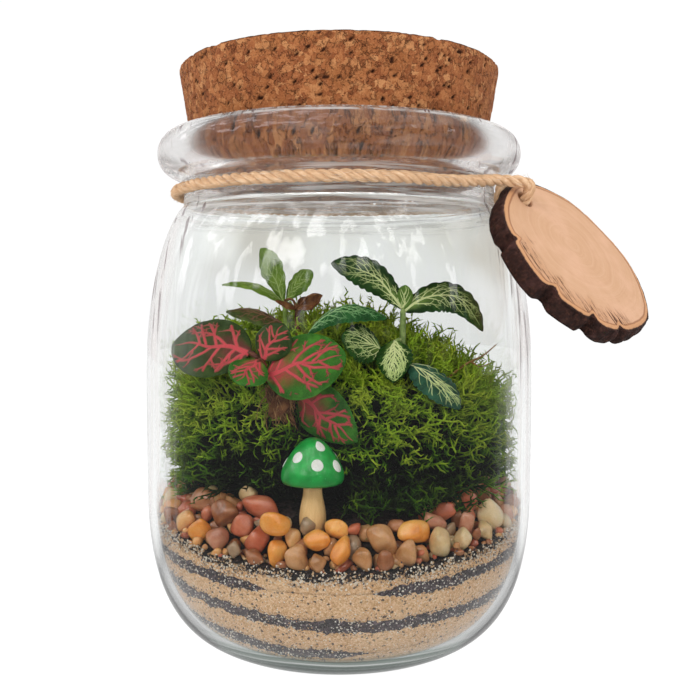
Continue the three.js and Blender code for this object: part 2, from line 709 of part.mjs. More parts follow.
// A blade with an even thickness; scalloped, its edges are cut in at every second step
function blade(shape, steps, scalloped) {
  const across = [-1, 0, 1];
  const positions = [];
  const indices = [];
  for (const out of [-BLADE / 2, BLADE / 2])
    for (let i = 0; i <= steps; i++) {
      const scallop = scalloped && i % 2 ? SCALLOP : 1;
      across.forEach((v) => positions.push(...leafPoint(shape, i / steps, v, out, scallop).toArray()));
    }
  const row = across.length;
  const face = (steps + 1) * row;
  const index = (side, i, k) => side * face + i * row + k;
  const quad = (a, b, c, d) => indices.push(a, b, c, a, c, d);
  for (let i = 0; i < steps; i++) {
    for (let k = 0; k < row - 1; k++) {
      quad(index(1, i, k), index(1, i, k + 1), index(1, i + 1, k + 1), index(1, i + 1, k));
      indices.push(index(0, i, k), index(0, i + 1, k + 1), index(0, i, k + 1));
      indices.push(index(0, i, k), index(0, i + 1, k), index(0, i + 1, k + 1));
    }
    quad(index(0, i, 0), index(1, i, 0), index(1, i + 1, 0), index(0, i + 1, 0));
    quad(index(1, i, row - 1), index(0, i, row - 1), index(0, i + 1, row - 1), index(1, i + 1, row - 1));
  }
  for (let k = 0; k < row - 1; k++) {
    quad(index(0, 0, k), index(0, 0, k + 1), index(1, 0, k + 1), index(1, 0, k));
    quad(index(0, steps, k + 1), index(0, steps, k), index(1, steps, k), index(1, steps, k + 1));
  }
  return facingOut(positions, indices);
}

// A solid from triangles that all face the same way, turned round if that way is inwards
function facingOut(positions, indices) {
  const made = solid(closed(positions, indices));
  if (made.volume() > 0) return made;
  const flipped = [];
  for (let i = 0; i < indices.length; i += 3) flipped.push(indices[i], indices[i + 2], indices[i + 1]);
  return solid(closed(positions, flipped));
}

function plant(leaves, stems, steps, scalloped) {
  const blades = leaves.map((shape) => blade(shape, steps, scalloped));
  return mainBody(join([...blades, ...stems.map((points) => stem(points))]));
}

// Moss: a lumpy core with branching strands that stand out of it

const frontness = (azimuth) => (0.5 + 0.5 * Math.cos(rad(azimuth))) ** 3;

// The core's radius, which leaves the front free for the pebbles
function mossEdge(azimuth) {
  return MOSS_SIDE_R - MOSS_FRONT_CUT * frontness(azimuth) + 0.8 * Math.sin(rad(5 * azimuth));
}

function mossTop(azimuth, radius) {
  const x = radius * Math.sin(rad(azimuth));
  const y = -radius * Math.cos(rad(azimuth));
  const lumps = 2.2 * Math.sin(x / 7 + 1) * Math.cos(y / 8) + 1.6 * Math.sin(y / 6 + x / 9);
  const lean = -0.14 * (x + 12) * (x > -12 ? 1 : -0.5);
  return MOSS_TOP + lean + lumps - MOSS_DROP * (radius / mossEdge(azimuth)) ** 3.2;
}

function mossCore() {
  return solid(
    turned((azimuth) => {
      const edge = mossEdge(azimuth);
      const foot = [...SOIL_RINGS].reverse().map((r, i) => Math.min(r, (0.9 + 0.015 * i) * edge));
      return [
        [0, SOIL_TOP + GAP],
        ...foot.map((r) => [r, soilSurface(azimuth, r) + GAP]),
        [edge, 0.5 * (SOIL_TOP + mossTop(azimuth, edge))],
        ...MOSS_RINGS.map((share) => [share * edge, mossTop(azimuth, share * edge)]),
        [0, mossTop(0, 0)],
      ];
    }),
  );
}

// A place on the core's outside and the way that faces outwards there
function mossPlace(random) {
  const azimuth = 360 * random();
  const edge = mossEdge(azimuth);
  const onWall = random() < 0.42;
  if (onWall) {
    const low = soilSurface(azimuth, edge) + 3;
    const z = low + (mossTop(azimuth, edge) - low) * random();
    return { point: at(azimuth, edge, z), way: at(azimuth, 1, 0.25 + 0.4 * random()).normalize() };
  }
  const radius = edge * Math.sqrt(random());
  const tilt = 1.1 * (radius / edge) ** 2;
  return { point: at(azimuth, radius, mossTop(azimuth, radius)), way: at(azimuth, tilt, 1).normalize() };
}

function strand(from, way, length, radius) {
  const tip = from.clone().addScaledVector(way, length);
  const side = new THREE.Vector3(0, 0, 1).cross(way);
  if (side.length() < 0.2) side.set(1, 0, 0);
  side.normalize();
  const other = side.clone().cross(way);
  const foot = [0, 1, 2].map((k) =>
    from
      .clone()
      .addScaledVector(side, radius * Math.cos((2 * Math.PI * k) / 3))
      .addScaledVector(other, radius * Math.sin((2 * Math.PI * k) / 3)),
  );
  const positions = [...foot, tip].flatMap((p) => p.toArray());
  return facingOut(positions, [0, 1, 2, 0, 3, 1, 1, 3, 2, 2, 3, 0]);
}

// Is a strand's line clear of the glass and of the balls, which stand for all that is in or over the moss?
function isClear(from, to, balls) {
  return [0.15, 0.4, 0.6, 0.8, 1].every((share) => {
    const p = from.clone().lerp(to, share);
    if (Math.hypot(p.x, p.y) > innerRadius(p.z) * 0.99 - 1) return false;
    if (p.z < soilSurface(azimuthOf(p), Math.hypot(p.x, p.y)) + 1) return false;
    return balls.every(({ centre, size }) => centre.distanceTo(p) > size);
  });
}

function jitter(random, size) {
  return new THREE.Vector3(random() - 0.5, random() - 0.5, random() - 0.5).multiplyScalar(2 * size);
}

function mossSolid(holes, keepOut) {
  const random = randomSource(7);
  const pieces = [mossCore().subtract(join(holes))];
  const balls = [...keepOut];
  let tufts = 0;
  for (let tries = 0; tufts < MOSS_TUFTS && tries < 6000; tries++) {
    const { point, way } = mossPlace(random);
    const main = way.clone().add(jitter(random, 0.45)).normalize();
    const root = point.clone().addScaledVector(way, -2);
    const length = STRAND_LENGTH * (0.75 + 0.4 * random());
    if (!isClear(point, root.clone().addScaledVector(main, length), balls)) continue;
    pieces.push(strand(root, main, length, STRAND_R));
    tufts++;
    const lines = [[point, root.clone().addScaledVector(main, length)]];
    for (const share of [0.4, 0.62]) {
      const fork = root.clone().addScaledVector(main, length * share);
      const turnTo = main.clone().add(jitter(random, 1)).normalize();
      const reachOut = length * (0.36 + 0.2 * random());
      if (turnTo.dot(main) > 0.93) continue;
      const tip = fork.clone().addScaledVector(turnTo, reachOut);
      if (!isClear(fork, tip, balls)) continue;
      lines.push([fork.clone(), tip]);
      fork.addScaledVector(turnTo, -0.25);
      pieces.push(strand(fork, turnTo, reachOut, 0.8 * STRAND_R * (1 - share)));
    }
    lines.forEach(([from, to]) =>
      range(6).forEach((i) => balls.push({ centre: from.clone().lerp(to, i / 5), size: STRAND_SPACE })),
    );
  }
  return mainBody(join(pieces));
}

// Balls that the moss strands keep out of
function keepOutOf(stones) {
  const balls = [];
  const leaves = [...RED_LEAVES, ...SHOOT_LEAVES, ...WHITE_LEAVES, ...ARCHED_LEAVES];
  leaves.forEach((shape) =>
    range(11).forEach((i) =>
      [-1, -0.5, 0, 0.5, 1].forEach((v) => {
        balls.push({ centre: leafPoint(shape, i / 10, v, 0, 1), size: 1.7 });
      }),
    ),
  );
  const stems = [...RED_STEMS, ...SHOOT_STEMS, ...WHITE_STEMS, ...ARCHED_STEMS, ...DRIED_STEMS];
  stems.forEach((points) =>
    stemCurve(points)
      .getSpacedPoints(16)
      .forEach((centre) => balls.push({ centre, size: 2 })),
  );
  stones.forEach((s) => balls.push({ centre: s.place, size: Math.max(s.half.x, s.half.z) + 0.9 }));
  range(5).forEach((i) => {
    const centre = new THREE.Vector3(MUSHROOM.x, MUSHROOM.y, STALK_FOOT + 6 * i);
    balls.push({ centre, size: i > 1 ? CAP_R + 1.4 : STALK_R + 1.5 });
  });
  return balls;
}

// The holes that the stems stand in
function stemHoles() {
  const rooted = [RED_STEMS[0], RED_STEMS[4], SHOOT_STEMS[0], WHITE_STEMS[0]];
  rooted.push(ARCHED_STEMS[0], DRIED_STEMS[0]);
  return rooted.map((points) => {
    const curve = stemCurve(points);
    const start = curve.getPointAt(0).addScaledVector(curve.getTangentAt(0), -1);
    const longer = new THREE.CatmullRomCurve3([start, ...curve.points], false, "centripetal");
    return solid(tube(longer, 6, 6, () => STEM_R + STEM_HOLE));
  });
}

// Mushroom

function capGeometry() {
  const share = [
    [0, 0.03],
    [0.45, 0.03],
    [0.82, 0],
    [0.97, 0.06],
    [1, 0.16],
    [0.93, 0.34],
    [0.72, 0.6],
    [0.46, 0.84],
    [0.22, 0.97],
    [0, 1],
  ];
  const profile = share.map(([r, z]) => [r * CAP_R, CAP_Z + z * CAP_HEIGHT]);
  return lathe(profile, 20).translate(MUSHROOM.x, MUSHROOM.y, 0);
}

function stalkGeometry() {
  const top = CAP_Z + 0.03 * CAP_HEIGHT - GAP;
  const profile = [
    [0, STALK_FOOT],
    [2.9, STALK_FOOT],
    [STALK_R - 0.2, 41.5],
    [STALK_R, 44],
    [3.1, 47.2],
    [2.5, 50],
    [2.4, top],
    [0, top],
  ];
  return lathe(profile, 14).translate(MUSHROOM.x, MUSHROOM.y, 0);
}

// Assembly

const terrarium = new THREE.Group();

function add(name, geometry, look) {
  geometry.computeVertexNormals();
  const mesh = new THREE.Mesh(geometry, LOOKS[look]);
  mesh.name = name;
  terrarium.add(mesh);
}

add("jar", jarGeometry(), "glass");
add("cork_stopper", corkGeometry(), "cork");
add("wood_tag", tagGeometry(), "wood");
add("twine", tube(twineCurve(), TWINE_STEPS, 8, () => TWINE_R, true), "jute");
layerNames.forEach((name, i) => add(name, layerGeometry(i), name.split("_")[0]));
add("soil", geometryOf(soilSolid()), "soil");

const stones = makeStones();
settle(stones);
stones.forEach((stone, i) =>
  add("pebble_" + String(i + 1).padStart(2, "0"), pebbleGeometry(stone), stone.look),
);

add("mushroom_cap", capGeometry(), "cap");
add("mushroom_stalk", stalkGeometry(), "stalk");
add("red_nerve_plant", geometryOf(plant(RED_LEAVES, RED_STEMS, 8, false)), "redLeaf");
add("green_shoot", geometryOf(plant(SHOOT_LEAVES, SHOOT_STEMS, 7, false)), "shoot");
add("white_nerve_plant", geometryOf(plant(WHITE_LEAVES, WHITE_STEMS, 14, true)), "whiteLeaf");
add("arched_leaf", geometryOf(plant(ARCHED_LEAVES, ARCHED_STEMS, 14, true)), "whiteLeaf");
add("dried_sprig", geometryOf(plant([], DRIED_STEMS, 0, false)), "dried");
add("moss_mound", geometryOf(mossSolid(stemHoles(), keepOutOf(stones))), "moss");

export default terrarium;
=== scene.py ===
"""The looks of a glass plant terrarium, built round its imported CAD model.

Lengths are in millimetres and turn into metres when a mesh is made. +Z is up, the planting's front looks
along -Y, and an azimuth is an angle round the jar's axis in degrees: 0 is the front, 90 is the side at +X.
"""
import json
import math
import random

import bpy
import numpy as np
from mathutils import Matrix, Quaternion, Vector, kdtree, noise
from mathutils.geometry import delaunay_2d_cdt


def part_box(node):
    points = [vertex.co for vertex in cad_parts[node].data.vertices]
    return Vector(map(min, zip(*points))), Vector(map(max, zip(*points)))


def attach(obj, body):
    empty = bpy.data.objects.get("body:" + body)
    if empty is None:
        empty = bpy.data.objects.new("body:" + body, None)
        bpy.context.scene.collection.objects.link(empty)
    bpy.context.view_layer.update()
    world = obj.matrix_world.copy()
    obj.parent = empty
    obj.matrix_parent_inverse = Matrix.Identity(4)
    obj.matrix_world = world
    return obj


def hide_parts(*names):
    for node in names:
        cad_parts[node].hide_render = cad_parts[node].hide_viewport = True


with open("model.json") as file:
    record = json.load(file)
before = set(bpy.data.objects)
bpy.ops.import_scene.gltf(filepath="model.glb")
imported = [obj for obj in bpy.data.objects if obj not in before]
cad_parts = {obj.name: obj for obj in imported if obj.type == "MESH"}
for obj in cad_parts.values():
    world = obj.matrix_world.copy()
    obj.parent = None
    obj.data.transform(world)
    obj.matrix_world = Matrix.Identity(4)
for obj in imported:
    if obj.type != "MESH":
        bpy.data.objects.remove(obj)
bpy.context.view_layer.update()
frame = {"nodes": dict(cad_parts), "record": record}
CAD_NODES = frame["nodes"]
MM = 0.001

# The camera stands where the photograph's did and looks down a little (radians). Its focal length and its
# shift are shares of the picture's width.
CAMERA_PLACE = (0, -269.6, 103)
CAMERA_DOWN = 0.066
FOCAL_SHARE = 887 / 700
CAMERA_SHIFT = 11 / 700

# Jar
BODY_R = 57.5
WALL = 2.2
FLOOR = 2.4
FOOT_R = 30.9
FOOT_TOP = 47
FOOT_POWER = 2.5
SHOULDER_Z = 72
SHOULDER_TOP = 127.5
SHOULDER_POWER = 2.4
SHOULDER_ROUND = 0.75
NECK_R = 46.2
RIM_Z = 142.5
RIM_R = 47.7
RIM_HALF_WIDTH = 5.8
RIM_HALF_HEIGHT = 6.3
RIM_START = -78
RIM_TURN = 180
RIM_STEPS = 24
MOUTH_TOP = 147.4
BORE_HEIGHTS = (141, 136)
UNDER_CORK_Z = 131
INSIDE_FOOT_R = FOOT_R - 1.2
GAP = 0.3
JAR_SEGMENTS = 160

# The jar's push-up, from the axis outwards, and the neck under the rim: how far out from NECK_R, and where
PUSH_UP = [(0, 0.6), (FOOT_R - 7, 0.6), (FOOT_R - 4.5, 0.15), (FOOT_R - 3, 0)]
NECK_STEPS = [(-0.15, 129.5), (-0.2, 131.5), (0, 134), (0.7, 135.6)]

# Glass: its colour, where pale bands painted as reflected light lie on the neck and painted highlights on the
# rim, where the bore is rough, and how high the foot's painted rings of shade and light reach
CLEAR = (0.972, 0.984, 0.978)
NECK_REFLECTION_Z = (121.5, 125, 134, 137)
RIM_HIGHLIGHT_Z = (135, 138)
RIM_HIGHLIGHT_R = (46, 48)
BORE_Z = (133, 135)
BORE_R = (46, 45)
FOOT_SHADE_HEIGHT = 12

# Cork stopper, with the sizes of its granules and pits
CORK_BOTTOM = 132
CORK_TOP = 167.6
CORK_BOTTOM_R = 41.5
CORK_TOP_R = 47.2
CORK_EDGE = 1.4
CORK_SEGMENTS = 300
CORK_STEPS = 44
GRANULE = 1.9
PIT = 1.3

# Twine and tag. A ply is one of the strings that the twine is twisted from.
TWINE_R = 1.6
TWINE_Z = 131.6
TWIST_LENGTH = 9
PLY_R = 0.86
PLY_OFFSET = 0.8
PLY_SIDES = 9
PLIES = 3
TWINE_STEPS = 620
FIBRES = 900
FIBRE_RADII = (0.06, 0.05, 0.02)
TAG_R = 25.8
TAG_THICK = 6
TAG_CENTRE = Vector((64, -30, 113))
TAG_FACE = Vector((0.54, -0.58, 0.61)).normalized()
TAG_DOWN = Vector((0.67, -0.15, -0.73))
TAG_DOWN = (TAG_DOWN - TAG_DOWN.dot(TAG_FACE) * TAG_FACE).normalized()
TAG_ACROSS = TAG_FACE.cross(TAG_DOWN).normalized()
TAG_HOLE_R = 2.6
TAG_HOLE_OFFSET = 20.3
TAG_OUTLINE_POINTS = 420
TAG_HOLE_POINTS = 40
TAG_GRID = 0.75
TAG_LAYERS = 9
BEVEL = 0.5
BEVEL_REACH = 1.1

# Notches in the tag's outline: where (degrees), how wide (degrees) and how deep
NOTCHES = [(-28, 5, 1.6), (-52, 7, 2.6), (-84, 8, 2.8), (-124, 5, 1.8)]

# Sand, grit and soil. A pair is a height in front and how much higher it is at the sides.
GRIT_THICK = 3.0
SAND_TOP = (31.2, 6.6)
GRIT_LOW = (10.8, 7.5)
GRIT_MIDDLE = (19.3, 4.9)
GRIT_HIGH = (28, 4.6)
GRIT_SLANT = 1.6
LAYER_SEGMENTS = 540
LAYER_INNER_SHARE = 0.55
TOP_GRAINS = 6400
EDGE_GRAINS = 8000
INSIDE_GRAINS = 2600
SOIL_EDGE = 1.6
SOIL_TOP = 46
SOIL_DITCH_R = 48.5
SOIL_POWER = 7
SOIL_SEGMENTS = 260
SOIL_RINGS = 46
SOIL_LUMPS = 900

# Columns and rows of a pebble's and a gravel stone's mesh, and the gravel: its least and greatest size and
# how many are tried
PEBBLE_MESH = (32, 20)
GRAVEL_MESH = (14, 10)
GRAVEL_SIZES = [(2.2, 3.0, 1500), (1.3, 2.2, 1500), (0.6, 1.1, 500)]
GRAVEL_AZIMUTH = 108
FRONT_AZIMUTH = 30

# Moss: its mound, the strands' number, the shares of them that creep over the soil beside it or grow from its
# wall, where side shoots leave a strand, and the radii along each kind of strand
MOSS_TOP = 91
MOSS_DROP = 14
MOSS_SIDE_R = 48
MOSS_FRONT_CUT = 15
MOSS_CORE_SEGMENTS = 120
MOSS_CORE_ROWS = 26
MOSS_WALL_ROWS = 8
MOSS_TUFTS = 2800
MOSS_SIDE_SHOOTS = (0.34, 0.5, 0.66, 0.82, 0.94)
MOSS_CREEPING = 0.05
MOSS_WALL_SHARE = 0.52
MOSS_RADII = {"main": (0.38, 0.37, 0.35, 0.3, 0.17), "side": (0.31, 0.27, 0.15), "twig": (0.25, 0.13)}

# Mushroom
MUSHROOM = (-6.8, -41)
CAP_R = 8.2
CAP_Z = 53.4
CAP_HEIGHT = 11.8
STALK_R = 3.5
STALK_FOOT = 39

# Light: how bright the glass shows the floor behind and under the jar, how much the floor lights, and the
# even light from low and from high
FLOOR_R = 1500
FLOOR_BEHIND = 0.9
FLOOR_UNDER = 0.6
FLOOR_LIGHT = 1.0
EVEN_LOW = (0.95, 0.95, 0.95)
EVEN_HIGH = (1.0, 1.0, 1.0)

# Leaves: from, to, full width, the way the upper face looks, how far the midrib bows towards it, how far the
# sides bend back, how far the midrib curves sideways, the share of the length where it is widest, how blunt
RED_LEAVES = [
    ((-23, -36.5, 87), (-44.6, -27.5, 88.4), 18, (-0.25, -0.8, 0.55), 1.6, 1.2, 0, 0.5, 0.5),
    ((-18.9, -38.5, 81), (1.8, -44, 86.4), 18.4, (0.1, -0.85, 0.5), 1.8, 1.4, 0, 0.47, 0.54),
    ((-19.8, -38.6, 85.2), (-14.2, -37.5, 94.4), 10.6, (-0.2, -0.9, 0.35), 0.8, 1, 0, 0.5, 0.55),
    ((-20.4, -39.8, 85), (-25.6, -45, 79.6), 11.2, (-0.1, -0.75, 0.65), 0.8, 0.8, 0, 0.5, 0.5),
    ((-10.2, -36, 75.4), (4.8, -41, 64), 14.4, (0.3, -0.9, -0.5), 0.6, 1.6, 0, 0.36, 0.66),
]
RED_STEMS = [
    [(-12, -25, 62), (-13.6, -31, 68), (-16.5, -35.6, 76), (-19.6, -37.6, 83.5), (-19.8, -38.4, 86)],
    [(-19.4, -37, 82.5), (-21, -37, 85.5), (-23.8, -36.3, 87.2)],
    [(-18.4, -37, 79.5), (-18.8, -38, 80.6), (-17.6, -38.9, 81.6)],
    [(-19.4, -37.8, 83.6), (-20.2, -39.4, 85), (-21, -40.6, 84.2)],
    [(-14.4, -32.6, 70.5), (-13, -34.6, 74), (-9.8, -36, 75.2)],
]
SHOOT_LEAVES = [
    ((-15.4, -16, 99.6), (-22.2, -14.5, 115), 8, (-0.45, -0.85, -0.1), 1.2, 0.8, 0.8, 0.62, 0.62),
    ((-15, -16, 99.8), (-7.4, -18.4, 108.4), 7, (-0.3, -0.8, 0.4), 1, 0.8, -0.6, 0.62, 0.6),
    ((-16, -16.4, 99.8), (-32.6, -20, 104.6), 7, (0.05, -0.35, 0.95), 2.6, 0.8, 0, 0.38, 0.8),
    ((-15.2, -17.6, 93), (-31, -24, 97.2), 9, (-0.1, -0.5, 0.87), 1.8, 1.2, 0, 0.45, 0.7),
]
SHOOT_STEMS = [[(-13, -13, 72), (-14.2, -15.6, 84), (-15, -17, 93.4), (-15.4, -16.2, 100.6)]]
WHITE_LEAVES = [
    ((17.6, -18.4, 97.8), (-2.2, -17, 110.6), 9.4, (-0.3, -0.8, 0.45), 1.4, 1, 3.2, 0.56, 0.62),
    ((18.3, -18.4, 97.2), (39.8, -22, 91.8), 10.4, (0.1, -0.85, 0.5), 2, 1.2, -7.6, 0.44, 0.7),
    ((18.1, -18.2, 97.6), (18.7, -17.6, 104.6), 5, (0.1, -0.95, 0.2), 0.4, 0.5, 0, 0.56, 0.5),
    ((11.6, -25, 86.8), (0.6, -31, 90.6), 12, (-0.2, -0.85, 0.5), 1.4, 1.2, 0, 0.5, 0.55),
    ((15.4, -24.6, 89.4), (14.4, -33.4, 78.6), 10.4, (-0.1, -0.8, 0.6), 1.4, 1.2, 0, 0.4, 0.66),
    ((18.4, -27, 83.4), (31.2, -37.6, 72.2), 10.4, (0.15, -0.65, 0.75), 1.4, 1.2, -0.8, 0.5, 0.6),
]
WHITE_STEMS = [
    [(17, -15, 68), (17.4, -18.6, 80), (17.8, -19.6, 88), (18, -18.4, 98.6)],
    [(17.5, -19.4, 84), (15.4, -22.6, 86.6), (10.8, -25.4, 86.9)],
    [(17.6, -19.6, 87), (16.8, -22.4, 89.4), (15.4, -25.2, 89)],
    [(17.4, -19, 82), (17.8, -23.6, 83.8), (19, -27.6, 83)],
]
ARCHED_LEAVES = [((-8.6, -26.4, 90.8), (13, -27, 95.6), 8.6, (-0.1, -0.5, 0.87), 6, 2, 0, 0.55, 0.6)]
ARCHED_STEMS = [[(-5, -16, 70), (-7, -20, 82), (-8.6, -25, 89.2), (-7.8, -26.4, 91.4)]]
DRIED_STEMS = [
    [(-9.6, -15, 76), (-11.2, -19.4, 88), (-11.7, -20.2, 96), (-11.5, -20, 99.6)],
    [(-11.6, -20.2, 97.4), (-13, -22, 100.6), (-15.4, -23, 100.4)],
    [(-11.6, -20, 97.4), (-8.6, -21, 101.4), (-5.2, -20.4, 102)],
    [(-11.6, -20, 97), (-9.6, -21, 98.6), (-7.4, -20.4, 98)],
]
DRIED_LEAVES = [
    ((-12, -20.4, 98), (-17.6, -23.2, 100.2), 3.4, (-0.2, -0.6, 0.8), 0.9, 0.9, 0, 0.5, 0.6),
    ((-11.4, -20.6, 98), (-4.6, -20.6, 101.8), 4.6, (0.1, -0.8, 0.6), -0.9, -1.2, 0, 0.5, 0.6),
    ((-11.6, -20.8, 98), (-7, -23.6, 98.4), 4, (0.1, -0.5, 0.85), 0.8, 0.8, 0, 0.5, 0.6),
    ((-11.6, -20.6, 97.6), (-9.2, -17.5, 101.4), 3.2, (0.2, 0.7, 0.6), 0.6, 0.6, 0, 0.5, 0.6),
    ((-18.6, -38.6, 78), (-12.4, -39.4, 72.6), 5, (-0.3, -0.9, 0.2), 0.6, 1.4, 0.8, 0.5, 0.6),
    ((-13.4, -38.8, 76), (-17.4, -39.6, 70), 4.4, (0.3, -0.9, 0.2), 0.8, -1.4, 0.6, 0.45, 0.6),
    ((-16.4, -38.2, 73), (-11.4, -39.6, 68.6), 3.6, (0, -0.9, -0.3), -0.6, 1.2, 0.6, 0.5, 0.6),
]
DRIED_THREADS = 70
OLD_STALK = [(30, -19.5, 78), (36, -18, 82.4), (41, -16, 84.6), (45.6, -14, 88)]
OLD_STALK_BRANCH = [(37.5, -17.6, 83), (39.6, -19, 81.8), (42.6, -18.6, 82.6)]


def at(azimuth, radius, z):
    turn = math.radians(azimuth)
    return Vector((radius * math.sin(turn), -radius * math.cos(turn), z))


def azimuth_of(x, y):
    return math.degrees(math.atan2(x, -y))


def smoothstep(value, low, high):
    share = min(1, max(0, (value - low) / (high - low)))
    return share * share * (3 - 2 * share)


def lumps(point, size, octaves=3):
    """Smooth random numbers from about -1 to 1 whose lumps are about size millimetres wide."""
    return noise.fractal(Vector(point) / size, 1.0, 2.0, octaves, noise_basis="PERLIN_ORIGINAL")


# Meshes


def build_mesh(name, points, faces, materials, smooth=True):
    """An object from points in millimetres and a list of face arrays, each of one number of corners."""
    points = np.asarray(points, float).reshape(-1, 3) * MM
    faces = [np.asarray(f, np.int32) for f in faces if len(f)]
    corners = np.concatenate([f.ravel() for f in faces])
    sizes = np.concatenate([np.full(len(f), f.shape[1]) for f in faces])
    mesh = bpy.data.meshes.new(name)
    mesh.vertices.add(len(points))
    mesh.vertices.foreach_set("co", points.ravel())
    mesh.loops.add(len(corners))
    mesh.loops.foreach_set("vertex_index", corners)
    mesh.polygons.add(len(sizes))
    mesh.polygons.foreach_set("loop_start", np.concatenate([[0], np.cumsum(sizes)[:-1]]).astype(np.int32))
    mesh.polygons.foreach_set("use_smooth", np.full(len(sizes), smooth))
    mesh.update(calc_edges=True)
    mesh.validate()
    for material in materials:
        mesh.materials.append(material)
    piece = bpy.data.objects.new(name, mesh)
    bpy.context.scene.collection.objects.link(piece)
    return piece


def set_attribute(piece, name, values):
    attribute = piece.data.attributes.new(name, "FLOAT", "POINT")
    attribute.data.foreach_set("value", np.asarray(values, float))


def dress(piece, slot, *replaced):
    """Puts a finished piece on the part's one body and in place of CAD nodes; its slot is not used."""
    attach(piece, "root")
    if replaced:
        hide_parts(*replaced)


class Parts:
    """Gathers points and faces of many small shapes into one mesh."""

    def __init__(self):
        self.points = []
        self.triangles = []
        self.quads = []
        self.values = []
        self.sides = []
        self.count = 0

    def add(self, points, triangles=(), quads=(), values=None):
        points = np.asarray(points, float).reshape(-1, 3)
        if len(triangles):
            self.triangles.append(np.asarray(triangles, np.int64) + self.count)
        if len(quads):
            self.quads.append(np.asarray(quads, np.int64) + self.count)
        self.points.append(points)
        self.values.append(np.zeros(len(points)) if values is None else np.asarray(values, float))
        self.count += len(points)

    def piece(self, name, material, smooth=True):
        faces = [np.concatenate(f) for f in (self.triangles, self.quads) if f]
        made = build_mesh(name, np.concatenate(self.points), faces, [material], smooth)
        set_attribute(made, "shade", np.concatenate(self.values))
        if self.sides:
            set_attribute(made, "across", self.sides)
        return made


def ring_quads(rows, columns, first=0):
    """Faces between rows of points, each row a closed ring of as many points as there are columns."""
    low = first + columns * np.arange(rows - 1)[:, None]
    here = np.arange(columns)
    after = (here + 1) % columns
    return np.stack([low + here, low + after, low + columns + after, low + columns + here], 2).reshape(-1, 4)


def lathe(name, profile, segments, material, change=None):
    """A closed form turned round the axis. Its profile starts at the bottom of the axis and ends at its top,
    both radius 0, and change(point, azimuth, step) may move a point."""
    points = []
    for step, (radius, z) in enumerate(profile[1:-1]):
        for i in range(segments):
            azimuth = 360 * i / segments
            point = at(azimuth, radius, z)
            points.append(change(point, azimuth, step) if change else point)
    bottom, last = len(points), len(points) - segments
    points += [Vector((0, 0, profile[0][1])), Vector((0, 0, profile[-1][1]))]
    triangles = [(bottom, (i + 1) % segments, i) for i in range(segments)]
    triangles += [(bottom + 1, last + i, last + (i + 1) % segments) for i in range(segments)]
    return build_mesh(name, points, [triangles, ring_quads(len(profile) - 2, segments)], [material])


def tube_arrays(paths, radii, sides, capped=True):
    """Points, triangles and quads of many tubes: paths (n, k, 3) and radii (n, k). A path's end is a tip."""
    paths = np.asarray(paths, float)
    radii = np.asarray(radii, float)[:, :-1, None, None]
    count, steps = paths.shape[:2]
    tangents = np.gradient(paths, axis=1)
    tangents /= np.linalg.norm(tangents, axis=2, keepdims=True) + 1e-12
    usual = np.array([0.31, 0.17, 0.93])
    reference = np.tile(usual, (count, 1))
    reference[np.abs(tangents[:, 0] @ usual) > 0.9] = (0.9, -0.4, 0.1)
    first = np.cross(tangents, reference[:, None])
    first /= np.linalg.norm(first, axis=2, keepdims=True) + 1e-12
    second = np.cross(tangents, first)
    ring = np.arange(sides)
    turns = (2 * np.pi * ring / sides)[:, None]
    rings = paths[:, :-1, None] + radii * np.cos(turns) * first[:, :-1, None]
    rings = rings + radii * np.sin(turns) * second[:, :-1, None]
    points = np.concatenate([rings.reshape(count, -1, 3), paths[:, -1:]], axis=1)
    each = points.shape[1]
    last = (steps - 2) * sides
    triangles = np.stack([last + ring, last + (ring + 1) % sides, np.full(sides, each - 1)], 1)
    if capped:
        triangles = np.concatenate([triangles, np.stack([np.zeros(sides - 2, int), ring[2:], ring[1:-1]], 1)])
    offsets = (np.arange(count) * each)[:, None, None]
    quads = ring_quads(steps - 1, sides) + offsets
    return points.reshape(-1, 3), (triangles + offsets).reshape(-1, 3), quads.reshape(-1, 4)


def blend(first, second, start, end, now):
    """The point between two points as now lies between start and end."""
    return first * ((end - now) / (end - start)) + second * ((now - start) / (end - start))


def catmull_rom(points, steps, closed=False):
    """Evenly spaced points along a centripetal spline through points."""
    points = [Vector(p) for p in points]
    count = len(points)

    def point(i):
        if closed:
            return points[i % count]
        if i < 0:
            return 2 * points[0] - points[1]
        if i >= count:
            return 2 * points[-1] - points[-2]
        return points[i]

    dense = []
    per_span = 24
    for span in range(count if closed else count - 1):
        p = [point(span + k - 1) for k in range(4)]
        t = [0.0]
        for k in range(3):
            t.append(t[-1] + max(1e-4, (p[k + 1] - p[k]).length ** 0.5))
        for i in range(per_span):
            now = t[1] + (t[2] - t[1]) * i / per_span
            a = [blend(p[k], p[k + 1], t[k], t[k + 1], now) for k in range(3)]
            b = [blend(a[k], a[k + 1], t[k], t[k + 2], now) for k in range(2)]
            dense.append(blend(b[0], b[1], t[1], t[2], now))
    dense.append(points[0] if closed else points[-1])
    dense = np.array([tuple(p) for p in dense])
    lengths = np.concatenate([[0], np.cumsum(np.linalg.norm(np.diff(dense, axis=0), axis=1))])
    wanted = np.linspace(0, lengths[-1], steps + 1)
    return np.stack([np.interp(wanted, lengths, dense[:, k]) for k in range(3)], 1)


def stem_tube(parts, points, radius, steps=24, sides=10, taper=0.25):
    path = catmull_rom(points, steps)
    radii = radius * (1 - taper * np.linspace(0, 1, steps + 1))
    parts.add(*tube_arrays(path[None], radii[None], sides))


# Materials


def rgb(code):
    """A linear colour from six hexadecimal digits."""
    values = [int(code[i:i + 2], 16) / 255 for i in (0, 2, 4)]
    return tuple(v / 12.92 if v <= 0.04045 else ((v + 0.055) / 1.055) ** 2.4 for v in values)


def paint(value):
    """What a colour socket takes, from a node's output, three linear numbers or six hexadecimal digits."""
    if isinstance(value, bpy.types.NodeSocket):
        return value
    return (*(rgb(value) if isinstance(value, str) else value), 1)


